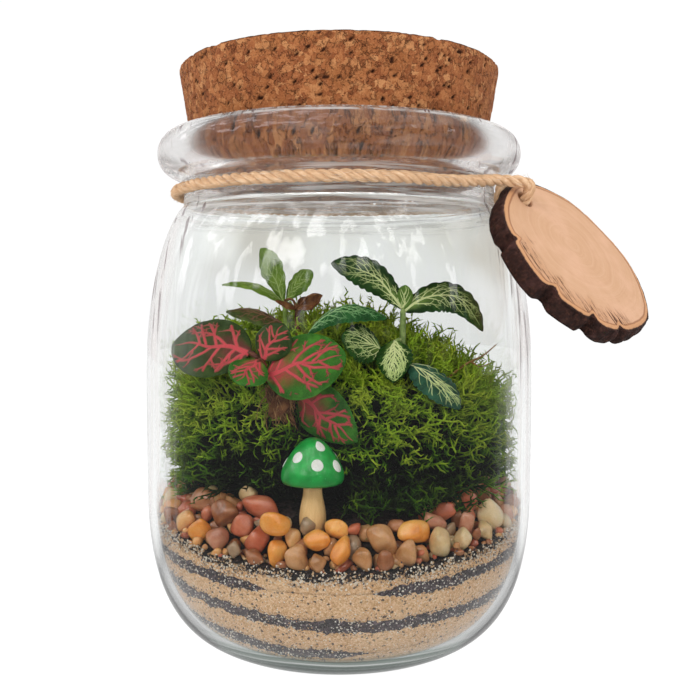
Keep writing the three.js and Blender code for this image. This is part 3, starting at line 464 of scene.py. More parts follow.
class Nodes:
    """A node tree, with short calls for the nodes used here. A value is a number or a node's output."""

    def __init__(self, tree):
        self.tree = tree

    def node(self, kind, inputs=(), **settings):
        made = self.tree.nodes.new(kind)
        for key, value in settings.items():
            setattr(made, key, value)
        for key, value in dict(inputs).items():
            self.feed(made.inputs[key], value)
        return made

    def feed(self, socket, value):
        if isinstance(value, bpy.types.NodeSocket):
            self.tree.links.new(value, socket)
        else:
            socket.default_value = value

    def math(self, operation, *values):
        return self.node("ShaderNodeMath", dict(enumerate(values)), operation=operation).outputs[0]

    def chain(self, operation, first, *others):
        for other in others:
            first = self.math(operation, first, other)
        return first

    def times(self, *values):
        return self.chain("MULTIPLY", *values)

    def plus(self, *values):
        return self.chain("ADD", *values)

    def minus(self, first, second):
        return self.math("SUBTRACT", first, second)

    def most(self, *values):
        return self.chain("MAXIMUM", *values)

    def vector(self, operation, *values):
        return self.node("ShaderNodeVectorMath", dict(enumerate(values)), operation=operation)

    def length(self, place):
        return self.vector("LENGTH", place).outputs["Value"]

    def split(self, place):
        return self.node("ShaderNodeSeparateXYZ", {"Vector": place}).outputs

    def join(self, x, y=0):
        return self.node("ShaderNodeCombineXYZ", {"X": x, "Y": y}).outputs[0]

    def noise(self, size, detail=3, rough=0.55, distortion=0, place=None):
        inputs = {"Vector": place or self.place, "Scale": 1 / size, "Detail": detail}
        inputs.update({"Roughness": rough, "Distortion": distortion})
        return self.node("ShaderNodeTexNoise", inputs).outputs["Fac"]

    def band(self, value, low, high):
        """0 below low, 1 above high, smooth between; low may be the higher one."""
        inputs = {"Value": value, "From Min": low, "From Max": high}
        return self.node("ShaderNodeMapRange", inputs, interpolation_type="SMOOTHSTEP").outputs[0]

    def span(self, value, start, full, thin, end):
        """1 from full to thin and 0 outside start to end."""
        return self.times(self.band(value, start, full), self.band(value, end, thin))

    def mix(self, factor, first, second):
        inputs = {"Factor": factor, 6: paint(first), 7: paint(second)}
        return self.node("ShaderNodeMix", inputs, data_type="RGBA").outputs[2]

    def over(self, color, other, factor, strength):
        """A colour with another laid over it."""
        return self.mix(self.times(factor, strength), color, other)

    def blended(self, factor, first, second):
        """Two shaders mixed."""
        inputs = {"Fac": factor, 1: first.outputs[0], 2: second.outputs[0]}
        return self.node("ShaderNodeMixShader", inputs)


class Graph(Nodes):
    """A material's node tree. Its place is a point of the object in millimetres, and so are the sizes."""

    def __init__(self, name):
        self.material = bpy.data.materials.new(name)
        self.material.use_nodes = True
        super().__init__(self.material.node_tree)
        self.shader = self.tree.nodes["Principled BSDF"]
        coordinates = self.node("ShaderNodeTexCoord").outputs["Object"]
        self.place = self.vector("SCALE", coordinates).outputs[0]
        self.place.node.inputs["Scale"].default_value = 1 / MM

    def scaled(self, factors, source=None):
        return self.vector("MULTIPLY", source or self.place, factors).outputs[0]

    def cells(self, size, feature="F1", output="Distance", place=None):
        inputs = {"Vector": place or self.place, "Scale": 1 / size, "Randomness": 1}
        return self.node("ShaderNodeTexVoronoi", inputs, feature=feature).outputs[output]

    def seams(self, size, width, place=None):
        """1 on the borders between cells, fading out over a width."""
        return self.band(self.cells(size, "DISTANCE_TO_EDGE", place=place), width, 0)

    def cell_random(self, size, place=None):
        color = self.cells(size, output="Color", place=place)
        return self.node("ShaderNodeSeparateColor", {"Color": color}).outputs[0]

    def warped(self, size, amount):
        """Places shifted by smooth random steps, which makes cells ragged."""
        drift = self.node("ShaderNodeTexNoise", {"Vector": self.place, "Scale": 1 / size}).outputs["Color"]
        shift = self.vector("SCALE", drift)
        shift.inputs["Scale"].default_value = 2 * amount
        return self.vector("ADD", self.place, shift.outputs[0]).outputs[0]

    def wobble(self, size, detail, amount):
        """Smooth random numbers round 0."""
        return self.times(self.minus(self.noise(size, detail), 0.5), amount)

    def attribute(self, name):
        return self.node("ShaderNodeAttribute", attribute_name=name).outputs["Fac"]

    def ramp(self, factor, *stops):
        """A colour from stops of a position and a colour."""
        made = self.node("ShaderNodeValToRGB", {0: factor})
        elements = made.color_ramp.elements
        while len(elements) < len(stops):
            elements.new(0.5)
        for element, (position, color) in zip(elements, stops):
            element.position = position
            element.color = paint(color)
        return made.outputs[0]

    def bump(self, height, depth, strength):
        """A bump whose height of 0 to 1 stands for depth millimetres."""
        inputs = {"Height": height, "Distance": depth * MM, "Strength": strength}
        return self.node("ShaderNodeBump", inputs).outputs[0]

    def finish(self, color, rough, normal=None, **plain):
        """The material with its shader fed; plain names other sockets, with _ for each space."""
        values = {"Base Color": paint(color), "Roughness": rough, "Normal": normal, **plain}
        for key, value in values.items():
            if value is not None:
                self.feed(self.shader.inputs[key.replace("_", " ")], value)
        return self.material

    def surface(self, shader):
        """The material with another shader in place of the plain one."""
        self.tree.links.new(shader.outputs[0], self.tree.nodes["Material Output"].inputs["Surface"])
        return self.material


def glass_material():
    """Clear glass with reflections and highlights painted on as a pale haze, and a green foot with painted
    rings of shade and light. It lets the lamps' light through to what it holds.
    """
    g = Graph("clear_glass")
    x, y, z = g.split(g.place)
    radius = g.length(g.join(x, y))
    aside = g.math("ABSOLUTE", x)
    grazing = g.node("ShaderNodeLayerWeight", {"Blend": 0.5}).outputs["Facing"]

    # Pale bands across the neck: painted reflected light.
    lines = g.noise(1, 3, 0.6, 0.3, g.scaled((0.03, 0.03, 0.8)))
    neck = g.times(g.span(z, *NECK_REFLECTION_Z), g.plus(0.12, g.times(g.band(lines, 0.46, 0.62), 0.5)))

    # The rim: paler towards its left and right ends, with streaks and a line along its top, all painted
    # highlights.
    highlight_streaks = g.noise(1, 3, 0.6, 0.5, g.scaled((0.07, 0.07, 0.4)))
    rim = g.plus(0.02, g.times(g.band(aside, 33, 44), 0.15), g.times(g.band(highlight_streaks, 0.45, 0.8), 0.14))
    top_highlight = g.band(g.math("ABSOLUTE", g.minus(z, MOUTH_TOP)), 0.6, 0.1)
    rim = g.plus(rim, g.times(top_highlight, g.band(highlight_streaks, 0.35, 0.5), 0.5))
    rim = g.times(rim, g.band(z, *RIM_HIGHLIGHT_Z), g.band(radius, *RIM_HIGHLIGHT_R))

    # Pale streaks where the glass is seen edge-on: painted reflection of a bright room.
    streaks = g.noise(1, 3, 0.6, 0.2, g.scaled((0.5, 0.14, 0.02)))
    pale = g.times(g.band(grazing, 0.4, 0.7), g.band(streaks, 0.42, 0.6), 0.35, g.band(z, 20, 50))
    # A dark streak near the edges, from the body upwards: painted reflection of the tag.
    dark_reflection = g.band(g.noise(1, 2, 0.5, 0.2, g.scaled((0.5, 0.14, 0.014))), 0.6, 0.66)
    dark_reflection = g.times(dark_reflection, g.band(grazing, 0.52, 0.6), g.band(z, 45, 70))
    painted_reflections = g.times(g.most(neck, rim, pale, g.times(dark_reflection, 0.6)), g.attribute("outside"))

    # The foot's colour: dark green and pale rings up its thick bottom, painted shade and light of the glass
    # there.
    level_of = g.plus(z, g.wobble(30, 1, 1.5))
    foot_tint_and_shade = g.ramp(
        g.math("DIVIDE", level_of, FOOT_SHADE_HEIGHT), (0.2, (0.04, 0.06, 0.05)), (0.27, (0.08, 0.11, 0.09)),
        (0.3, CLEAR), (0.33, (0.14, 0.18, 0.15)), (0.43, (0.06, 0.09, 0.07)), (0.47, (0.78, 0.82, 0.8)),
        (0.51, (0.22, 0.28, 0.24)), (0.58, (0.62, 0.68, 0.64)), (0.62, CLEAR), (0.75, (0.7, 0.75, 0.72)),
        (0.85, CLEAR))
    bore = g.times(g.band(radius, *BORE_R), g.band(z, *BORE_Z))
    g.finish(foot_tint_and_shade, g.times(bore, 0.18), Transmission_Weight=1.0, IOR=1.47)

    # The painted reflections' colour: pinker at the sides, and dark where the tag's reflection is painted.
    reflection_color = g.mix(g.band(aside, 40, 52), (0.93, 0.93, 0.92), (0.96, 0.9, 0.89))
    reflection_color = g.mix(dark_reflection, reflection_color, (0.24, 0.17, 0.18))
    front = g.node("ShaderNodeBsdfDiffuse", {"Color": reflection_color})
    behind = g.node("ShaderNodeBsdfTranslucent", {"Color": reflection_color})
    with_reflections = g.blended(painted_reflections, g.shader, g.blended(0.4, front, behind))
    clear = g.node("ShaderNodeBsdfTransparent", {"Color": paint(CLEAR)})
    shadow = g.node("ShaderNodeLightPath").outputs["Is Shadow Ray"]
    return g.surface(g.blended(shadow, with_reflections, clear))


def cork_material():
    g = Graph("cork")
    place = g.warped(1.6, 1.1)
    fine = g.noise(0.45, 4, 0.7)
    color = g.ramp(g.cell_random(1.7, place), (0, "82492a"), (0.35, "985b36"), (0.7, "a86a40"), (1, "be8456"))
    color = g.over(color, "9a6036", g.band(g.noise(6, 3), 0.42, 0.7), 0.6)
    color = g.over(color, "744022", g.band(fine, 0.5, 0.68), 0.6)
    color = g.over(color, "c68e62", g.band(fine, 0.46, 0.34), 0.4)
    dark = g.times(g.seams(1.7, 0.14, place), g.band(g.noise(1.6, 3), 0.46, 0.62))
    clusters = g.times(g.band(g.noise(7, 2), 0.4, 0.65), 0.09)
    fleck = g.band(g.plus(g.noise(0.7, 3, 0.65, 1.2), clusters), 0.66, 0.71)
    color = g.over(color, "5a3018", dark, 0.5)
    color = g.over(color, "442310", fleck, 0.75)
    color = g.mix(g.band(g.attribute("shade"), 0.15, 0.8), color, "3a1e10")
    height = g.minus(g.times(fine, 0.6), g.most(dark, fleck))
    return g.finish(color, 0.88, g.bump(height, 0.5, 0.9), Specular_IOR_Level=0.2)


def jute_material():
    g = Graph("jute")
    strands = g.join(g.times(g.attribute("along"), 0.35), g.times(g.attribute("around"), 5))
    fibre = g.noise(1, 4, 0.7, 0.4, strands)
    color = g.ramp(fibre, (0.25, "a07c5e"), (0.5, "cea782"), (0.75, "ecd0b0"))
    color = g.over(color, "b08a68", g.band(g.noise(7, 2), 0.5, 0.8), 0.4)
    return g.finish(color, 0.9, g.bump(fibre, 0.18, 0.8), Specular_IOR_Level=0.2)


def fluff_material():
    g = Graph("jute_fluff")
    return g.finish(g.ramp(g.noise(3, 2), (0.3, "c0a68c"), (0.7, "e6d6c2")), 0.9, Specular_IOR_Level=0.2)


def cut_wood(g, down, across):
    """The colour of the cut face, with rings round a point beside the tag's middle and rays across."""
    radius = g.plus(g.length(g.join(g.plus(down, 3), g.plus(across, -2))), g.wobble(11, 2, 3.2))
    rings = g.noise(1, 4, 0.7, 0, g.join(g.times(radius, 0.75)))
    face = g.ramp(rings, (0.3, "bd9170"), (0.5, "c49a78"), (0.7, "caa284"))
    face = g.over(face, "cfa486", g.band(g.noise(14, 3, 0.6), 0.42, 0.66), 0.7)
    rays = g.noise(0.35, 2, 0.6, 0, g.scaled((0.12, 1, 1)))
    return g.over(face, "b98664", g.band(rays, 0.58, 0.7), 0.35)


def tag_material():
    """Cut wood with a darker line inside the bark and scratches at one side, in the tag's own frame."""
    g = Graph("wood_face")
    down, across, _ = g.split(g.place)
    edge = g.attribute("edge")
    depth = g.plus(edge, g.wobble(2.5, 3, 0.5))
    color = g.over(cut_wood(g, down, across), "c08c62", g.band(depth, 1.9, 1.7), 0.85)
    color = g.over(color, "8e5e3e", g.span(depth, 1.5, 1.8, 2.0, 2.3), 0.8)
    turned = g.node("ShaderNodeVectorRotate", {"Vector": g.place, "Angle": 0.35}, rotation_type="Z_AXIS")
    scratch = g.noise(0.8, 3, 0.7, 0.4, g.scaled((0.13, 1.4, 1), turned.outputs[0]))
    side = g.times(g.band(across, -3, -9), g.band(down, -15, -9))
    side = g.times(side, g.band(depth, 1.4, 2.2), g.band(edge, 8.5, 4))
    color = g.over(color, "b07a50", side, 0.35)
    color = g.mix(g.times(side, g.band(scratch, 0.52, 0.58)), color, "4a2814")
    bark = g.ramp(g.noise(1.2, 4, 0.7), (0.3, "1e0f0c"), (0.55, "3a2019"), (0.75, "603a2c"))
    bark = g.over(bark, "4a2c28", g.band(g.noise(4, 2), 0.55, 0.7), 0.6)
    color = g.mix(g.band(depth, 0.75, 0.45), color, bark)
    rough = g.times(g.noise(0.9, 4, 0.75), g.band(depth, 0.9, 0.4))
    height = g.plus(rough, g.times(scratch, 0.12))
    return g.finish(color, 0.72, g.bump(height, 0.7, 0.9), Specular_IOR_Level=0.3)


def grain_material(name, size, colors, pale, dark, rough=0.9, depth=0.25):
    """Loose grains: a colour for each grain, and the shares of them that are pale or dark."""
    g = Graph(name)
    last = len(colors) - 1
    color = g.ramp(g.cell_random(size), *[(i / last, code) for i, code in enumerate(colors)])
    color = g.mix(g.band(g.cell_random(size * 0.8), 1 - pale, 1 - pale + 0.02), color, "f2ebe0")
    color = g.mix(g.band(g.cell_random(size * 1.5), dark + 0.01, dark), color, "3a2e2c")
    color = g.over(color, colors[0], g.seams(size, 0.14), 0.45)
    color = g.over(color, colors[-1], g.band(g.noise(9, 2), 0.45, 0.75), 0.25)
    return g.finish(color, rough, g.bump(g.cells(size), depth, 0.8), Specular_IOR_Level=0.25)


def plain_grain(name, low, high, rough=0.5):
    g = Graph(name)
    return g.finish(g.ramp(g.noise(1.5, 2), (0.35, low), (0.65, high)), rough)


def pebble_material(name, slot):
    dark, main, light = PEBBLE_LOOKS[slot]
    g = Graph(name)
    color = g.ramp(g.noise(7, 3, 0.6, 0.4), (0.25, dark), (0.45, main), (0.75, light))
    veins = g.band(g.math("ABSOLUTE", g.minus(g.noise(3.2, 4, 0.6, 2), 0.5)), 0.025, 0.0)
    color = g.over(color, light, veins, 0.2)
    color = g.over(color, dark, g.band(g.noise(0.5, 2), 0.62, 0.7), 0.35)
    return g.finish(color, 0.22, g.bump(g.noise(1.3, 3), 0.12, 0.4), Subsurface_Weight=0.15,
                    Subsurface_Scale=0.002, Coat_Weight=0.4, Coat_Roughness=0.12)


def moss_material():
    g = Graph("moss_strands")
    shade = g.attribute("shade")
    # The shade value holds the paler tips together with painted light and shade.
    deep = g.ramp(shade, (0, "081403"), (0.25, "1f3f06"), (0.55, "588c10"), (1, "a4c82c"))
    warm = g.ramp(shade, (0, "0c1603"), (0.25, "30480a"), (0.55, "789a14"), (1, "bcd03c"))
    color = g.mix(g.band(g.noise(8, 3), 0.42, 0.62), deep, warm)
    g.finish(color, 0.55, Specular_IOR_Level=0.35)
    return g.surface(g.blended(0.3, g.shader, g.node("ShaderNodeBsdfTranslucent", {"Color": color})))


def leaf_material(name, dark, main, light, wash, strength):
    """A blade's green, with a wash of another colour round the midrib near its base and a paler rim."""
    g = Graph(name)
    color = g.ramp(g.noise(3.5, 3), (0.3, dark), (0.5, main), (0.7, light))
    mesh = g.cells(0.55, "DISTANCE_TO_EDGE")
    color = g.over(color, light, g.band(mesh, 0.16, 0.02), 0.35)
    wobble = g.wobble(2, 3, 0.35)
    along = g.plus(g.attribute("shade"), wobble)
    across = g.plus(g.attribute("across"), wobble)
    color = g.over(color, wash, g.times(g.band(along, 0.6, 0.08), g.band(across, 0.75, 0.1)), strength)
    color = g.over(color, light, g.band(g.attribute("across"), 0.94, 0.995), 0.6)
    normal = g.bump(g.cells(0.55, "SMOOTH_F1"), 0.1, 0.5)
    return g.finish(color, 0.5, normal, Specular_IOR_Level=0.25)


def vein_material(name, thin, thick):
    g = Graph(name)
    worn = g.plus(g.attribute("shade"), g.wobble(1.5, 2, 0.5))
    return g.finish(g.ramp(worn, (0.1, thin), (0.75, thick)), 0.5)


def stem_material(name, low, high, rough=0.55):
    g = Graph(name)
    color = g.ramp(g.noise(2, 3), (0.35, low), (0.65, high))
    return g.finish(color, rough, g.bump(g.noise(0.4, 3), 0.1, 0.5))


def cap_material():
    g = Graph("cap_green")
    color = g.ramp(g.noise(3, 3), (0.35, "0a9036"), (0.65, "1eb04a"))
    # Darker towards the cap's bottom edge: painted shade.
    color = g.over(color, "067a2c", g.band(g.split(g.place)[2], 58.5, 53), 0.6)
    # Pale specks: painted glints.
    color = g.over(color, "6fdc9c", g.band(g.noise(0.45, 2), 0.68, 0.72), 0.5)
    return g.finish(color, 0.3, g.bump(g.noise(1.6, 2), 0.05, 0.4), Coat_Weight=0.3, Coat_Roughness=0.12)


def dot_material():
    g = Graph("dot_white")
    return g.finish(g.ramp(g.noise(1.5, 2), (0.3, "e8e6de"), (0.7, "fbfaf6")), 0.35)


def stalk_material():
    g = Graph("stalk_cream")
    streaks = g.noise(1, 3, 0.6, 0, g.scaled((0.7, 0.7, 0.1)))
    color = g.ramp(streaks, (0.3, "e0b070"), (0.6, "efc488"), (0.8, "f6d6a2"))
    return g.finish(color, 0.45, g.bump(streaks, 0.04, 0.3))


# Jar


def outer_radius(z):
    if z < FOOT_TOP:
        rest = 1 - max(z, 0) / FOOT_TOP
        return FOOT_R + (BODY_R - FOOT_R) * (1 - rest ** FOOT_POWER) ** (1 / FOOT_POWER)
    if z < SHOULDER_Z:
        return BODY_R
    rise = min(1, (z - SHOULDER_Z) / (SHOULDER_TOP - SHOULDER_Z))
    return NECK_R + (BODY_R - NECK_R) * (1 - rise ** SHOULDER_POWER) ** SHOULDER_ROUND


def foot_profile(bottom_r, bottom_z, side_r, steps=24):
    profile = []
    for i in range(steps + 1):
        turn = math.pi / 2 * i / steps
        r = bottom_r + (side_r - bottom_r) * math.sin(turn) ** (2 / FOOT_POWER)
        z = bottom_z + (FOOT_TOP - bottom_z) * (1 - max(0, math.cos(turn)) ** (2 / FOOT_POWER))
        profile.append((r, z))
    return profile


def shoulder(inset, steps=24):
    rise = SHOULDER_TOP - SHOULDER_Z
    heights = [SHOULDER_Z + rise * math.sin(math.pi / 2 * i / steps) for i in range(steps + 1)]
    return [(outer_radius(z) - inset, z) for z in heights]


INSIDE = foot_profile(INSIDE_FOOT_R, FLOOR, BODY_R - WALL) + shoulder(WALL)
INSIDE_RADII, INSIDE_HEIGHTS = zip(*INSIDE)


def inner_radius(z):
    return float(np.interp(max(z, FLOOR), INSIDE_HEIGHTS, INSIDE_RADII))


def cork_radius(z):
    return CORK_BOTTOM_R + (CORK_TOP_R - CORK_BOTTOM_R) * (z - CORK_BOTTOM) / (CORK_TOP - CORK_BOTTOM)


def bore_radius(z):
    return cork_radius(z) + GAP


def is_outside(point):
    """Whether a point of the jar's surface is on its outer side."""
    radius = math.hypot(point.x, point.y)
    if point.z < 1.5:
        return True
    if point.z < SHOULDER_TOP:
        return radius > outer_radius(point.z) - WALL / 2
    return radius > NECK_R - 0.9


def make_jar():
    profile = PUSH_UP + foot_profile(FOOT_R, 0, BODY_R) + shoulder(0)[1:]
    profile += [(NECK_R + out, z) for out, z in NECK_STEPS]
    for i in range(RIM_STEPS + 1):
        turn = math.radians(RIM_START + RIM_TURN * i / RIM_STEPS)
        profile.append((RIM_R + RIM_HALF_WIDTH * math.cos(turn), RIM_Z + RIM_HALF_HEIGHT * math.sin(turn)))
    profile += [(bore_radius(MOUTH_TOP) + 0.9, MOUTH_TOP + 0.9), (bore_radius(MOUTH_TOP), MOUTH_TOP - 0.4)]
    profile += [(bore_radius(z), z) for z in BORE_HEIGHTS]
    under_cork = 0.5 * (bore_radius(CORK_BOTTOM) + outer_radius(SHOULDER_TOP) - WALL)
    profile += [(under_cork, UNDER_CORK_Z)] + INSIDE[::-1] + [(0, FLOOR)]
    jar = lathe("glass_jar", profile, JAR_SEGMENTS, glass_material())
    set_attribute(jar, "outside", [float(is_outside(v.co / MM)) for v in jar.data.vertices])
    dress(jar, "glass", "jar")


def make_cork():
    profile = [(CORK_BOTTOM_R * i / 12, CORK_BOTTOM) for i in range(12)]
    for i in range(CORK_STEPS + 1):
        z = CORK_BOTTOM + (CORK_TOP - CORK_BOTTOM) * i / CORK_STEPS
        near = min(z - CORK_BOTTOM, CORK_TOP - z)
        round_off = CORK_EDGE - math.sqrt(max(0, CORK_EDGE ** 2 - max(0, CORK_EDGE - near) ** 2))
        profile.append((cork_radius(z) - round_off, z))
    profile += [(CORK_TOP_R * (1 - i / 40), CORK_TOP) for i in range(1, 40)] + [(0, CORK_TOP)]
    shades = []
    offset = random.Random(5).random() * 100

    def granules(point, azimuth, step):
        distances, centres = noise.voronoi((point + Vector((offset, 0, 0))) / GRANULE)
        seam = distances[1] - distances[0]
        chance = noise.noise(centres[0] * 7.3)
        spot = Vector((point.x, point.y, 2.2 * point.z)) / PIT
        hole = smoothstep(noise.noise(spot + Vector((offset, 7, 3))), 0.42, 0.55)
        depth = max(0, 0.12 * chance + 0.15 * smoothstep(0.12 - seam, 0, 0.12) + 0.7 * hole + 0.1)
        shades.append(min(1, hole + 0.25 * smoothstep(0.1 - seam, 0, 0.1)))
        if point.z < MOUTH_TOP:
            depth = max(depth, 0.02)
        if point.z > CORK_TOP - 0.01:
            return point - Vector((0, 0, depth))
        return point - Vector((point.x, point.y, 0)).normalized() * depth

    cork = lathe("cork_stopper_piece", profile, CORK_SEGMENTS, cork_material(), granules)
    set_attribute(cork, "shade", shades + [0, 0])
    dress(cork, "cork", "cork_stopper")


# Twine and tag


def tag_point(down, across, out):
    return TAG_CENTRE + TAG_DOWN * down + TAG_ACROSS * across + TAG_FACE * out


def twine_route():
    """Round the neck, out to the tag, through its hole from the front, and back to the start."""
    neck = NECK_R + 1.6 * GAP + TWINE_R
    hole = -TAG_HOLE_OFFSET
    return [at(88 + 26 * i, neck, TWINE_Z) for i in range(13)] + [
        at(55, 52, TWINE_Z + 1),
        tag_point(hole - 2, 0, 3.6),
        tag_point(hole, 0, 0.6),
        tag_point(hole, 0, -TAG_THICK + 0.8),
        tag_point(hole - 3, 1.5, -TAG_THICK - 1.9),
        tag_point(hole - 7.2, 4.5, -TAG_THICK + 0.8),
    ]


def path_frames(path):
    """The direction and two unit normals at each point of a closed path, turned as little as possible."""
    tangents = np.roll(path, -1, axis=0) - np.roll(path, 1, axis=0)
    tangents /= np.linalg.norm(tangents, axis=1, keepdims=True)
    normal = Vector((0, 0, 1))
    normals = []
    for t in tangents:
        t = Vector(t)
        normal = (normal - normal.dot(t) * t).normalized()
        normals.append(tuple(normal))
    normals = np.array(normals)
    return tangents, normals, np.cross(tangents, normals)


def ply(path, normals, binormals, phase, turns):
    """The points of one ply of a rope laid round a path."""
    share = np.arange(len(path)) / len(path)
    swell = 1 + 0.06 * np.sin(share * 97 + phase) + 0.05 * np.sin(share * 41 + 2 * phase)
    angle = (phase + 2 * np.pi * turns * share)[:, None]
    centre = path + PLY_OFFSET * (np.cos(angle) * normals + np.sin(angle) * binormals)
    _, first, second = path_frames(centre)
    turn = (2 * np.pi * np.arange(PLY_SIDES) / PLY_SIDES)[:, None]
    size = (PLY_R * swell)[:, None, None]
    return centre[:, None] + size * np.cos(turn) * first[:, None] + size * np.sin(turn) * second[:, None]


def make_twine():
    route = catmull_rom(twine_route(), TWINE_STEPS, closed=True)[:-1]
    count = len(route)
    length = np.linalg.norm(np.diff(route, axis=0), axis=1).sum()
    tangents, normals, binormals = path_frames(route)
    parts = Parts()
    quads = ring_quads(count + 1, PLY_SIDES) % (count * PLY_SIDES)
    for k in range(PLIES):
        phase = 2 * math.pi * k / PLIES
        parts.add(ply(route, normals, binormals, phase, round(length / TWIST_LENGTH)), (), quads)
    twine = parts.piece("jute_twine", jute_material())
    along = np.repeat(np.arange(count) * np.linalg.norm(route[1] - route[0]), PLY_SIDES)
    set_attribute(twine, "along", np.tile(along, PLIES))
    set_attribute(twine, "around", np.tile(np.arange(PLY_SIDES) / PLY_SIDES, PLIES * count))
    dress(twine, "jute", "twine")

    draw = np.random.default_rng(3)
    starts = draw.integers(0, count, FIBRES)
    turn = draw.uniform(0, 2 * np.pi, FIBRES)[:, None]
    out = np.cos(turn) * normals[starts] + np.sin(turn) * binormals[starts]
    lean = tangents[starts] * draw.choice([-1, 1], (FIBRES, 1))
    length = draw.uniform(1.2, 3.4, (FIBRES, 1))
    root = route[starts] + out * 1.3
    middle = root + lean * length * 0.5 + out * draw.uniform(0.1, 0.55, (FIBRES, 1))
    tip = root + lean * length + out * draw.uniform(0.0, 1.1, (FIBRES, 1))
    paths = np.stack([root, middle, tip], 1)[[free_of_glass(p) for p in tip]]
    fluff = Parts()
    fluff.add(*tube_arrays(paths, np.tile(FIBRE_RADII, (len(paths), 1)), 3))
    dress(fluff.piece("twine_fibres", fluff_material()), "jute")
    return route


def free_of_glass(point):
    return math.hypot(point[0], point[1]) > max(outer_radius(point[2]), NECK_R) + 0.2


def tag_radius(degrees):
    waves = 0.35 * math.sin(math.radians(3 * degrees + 20)) + 0.25 * math.sin(math.radians(7 * degrees))
    notch = sum(deep * math.exp(-4 * ((degrees - angle) / wide) ** 2) for angle, wide, deep in NOTCHES)
    return TAG_R + waves - notch


def bearing(x, y):
    """The angle of a point on the tag's face, in degrees."""
    return math.degrees(math.atan2(y, x))


def tag_outline():
    """Points round the bark, with its notches and small bumps."""
    outline = []
    for i in range(TAG_OUTLINE_POINTS):
        degrees = 360 * i / TAG_OUTLINE_POINTS - 180
        spot = Vector((math.cos(math.radians(degrees)), math.sin(math.radians(degrees)), 0))
        rough = 0.3 * lumps(spot * 25 + Vector((9, 1, 4)), 2.2) + 0.2 * lumps(spot * 25, 0.9)
        r = tag_radius(degrees) + rough
        outline.append((r * spot.x, r * spot.y))
    return outline


def tag_hole():
    """Points round the hole, the other way round than the outline."""
    turns = [-2 * math.pi * i / TAG_HOLE_POINTS for i in range(TAG_HOLE_POINTS)]
    return [(-TAG_HOLE_OFFSET + TAG_HOLE_R * math.cos(turn), TAG_HOLE_R * math.sin(turn)) for turn in turns]


def tag_inside():
    """Points spread over the tag's face, clear of its bark and its hole."""
    draw = random.Random(8)
    inside = []
    rows = int(2 * TAG_R / TAG_GRID) + 2
    for i in range(rows):
        for j in range(rows):
            x = (i - rows / 2 + 0.5 * (j % 2)) * TAG_GRID + draw.uniform(-0.1, 0.1)
            y = (j - rows / 2) * TAG_GRID + draw.uniform(-0.1, 0.1)
            in_bark = math.hypot(x, y) >= tag_radius(bearing(x, y)) - 0.9
            if not in_bark and math.hypot(x + TAG_HOLE_OFFSET, y) > TAG_HOLE_R + 0.45:
                inside.append((x, y))
    return inside


def tag_face(outline, hole):
    """Points and triangles of the tag's flat face, without those in the hole or outside the outline."""
    count, hole_count = len(outline), len(hole)
    points = outline + hole + tag_inside()
    edges = [(i, (i + 1) % count) for i in range(count)]
    edges += [(count + i, count + (i + 1) % hole_count) for i in range(hole_count)]
    flat, _, faces, *_ = delaunay_2d_cdt([Vector(p) for p in points], edges, [], 0, 1e-5)
    kept = []
    for face in faces:
        centre = sum((flat[i] for i in face), Vector((0, 0))) / len(face)
        in_hole = (centre - Vector((-TAG_HOLE_OFFSET, 0))).length < TAG_HOLE_R * 0.985
        nearby = outline[int((bearing(centre.x, centre.y) + 180) / 360 * count) % count]
        if not in_hole and centre.length < Vector(nearby).length + 0.25:
            kept.append(tuple(face))
    return flat[:len(points)], kept


def make_tag(route):
    """A slice with its bark, meshed in its own frame: x down, y across, z out of the front face."""
    outline, hole = tag_outline(), tag_hole()
    flat, kept = tag_face(outline, hole)
    used = len(flat)
    edge_values = []
    points = []
    for p in flat:
        depth = tag_radius(bearing(p.x, p.y)) - p.length
        edge_values.append(depth)
        bevel = BEVEL * smoothstep(BEVEL_REACH - depth, 0, BEVEL_REACH)
        points.append(Vector((p.x, p.y, 0.06 * lumps((p.x, p.y, 2), 6) - bevel)))
    points += [Vector((p.x, p.y, -TAG_THICK - p.z)) for p in points]
    edge_values += edge_values
    triangles = kept + [(used + c, used + b, used + a) for a, b, c in kept]
    quads = []

    def side_wall(first, size, outward):
        previous = [first + i for i in range(size)]
        for layer in range(1, TAG_LAYERS + 1):
            share = layer / TAG_LAYERS
            current = [used + first + i for i in range(size)]
            if share < 1:
                for i in range(size):
                    p = points[first + i].lerp(points[used + first + i], share)
                    bulge = 0.55 * math.sin(math.pi * share) + 0.5 * lumps((p.x, p.y, p.z * 0.5 + 3), 2.4)
                    away = Vector((p.x, p.y, 0)).normalized()
                    points.append(p + away * (bulge if outward else 0))
                    edge_values.append(0.2 if outward else 6)
                current = list(range(len(points) - size, len(points)))
            for i in range(size):
                j = (i + 1) % size
                quads.append((previous[i], current[i], current[j], previous[j]))
            previous = current

    side_wall(0, len(outline), True)
    side_wall(len(outline), len(hole), False)
    make_room_for_twine(points, route)
    tag = build_mesh("wood_slice_tag", points, [triangles, quads], [tag_material()])
    set_attribute(tag, "edge", edge_values)
    tag.matrix_world = tag_matrix(TAG_CENTRE * MM)
    dress(tag, "wood", "wood_tag")


def tag_matrix(centre):
    """The tag's place: x runs down it, y across it and z out of its face."""
    turned = Matrix((TAG_DOWN, TAG_ACROSS, TAG_FACE)).transposed().to_4x4()
    turned.translation = centre
    return turned


def make_room_for_twine(points, route):
    """Moves the tag's points that would be inside the twine out of it."""
    placed = tag_matrix(TAG_CENTRE)
    back_to_tag = placed.inverted()
    near = kdtree.KDTree(len(route))
    for i, p in enumerate(route):
        near.insert(Vector(p), i)
    near.balance()
    clear = TWINE_R + 0.12
    for i, p in enumerate(points):
        world = placed @ p
        line, _, distance = near.find(world)
        if distance < clear:
            points[i] = back_to_tag @ (line + (world - line).normalized() * clear)


# Sand, grit and soil


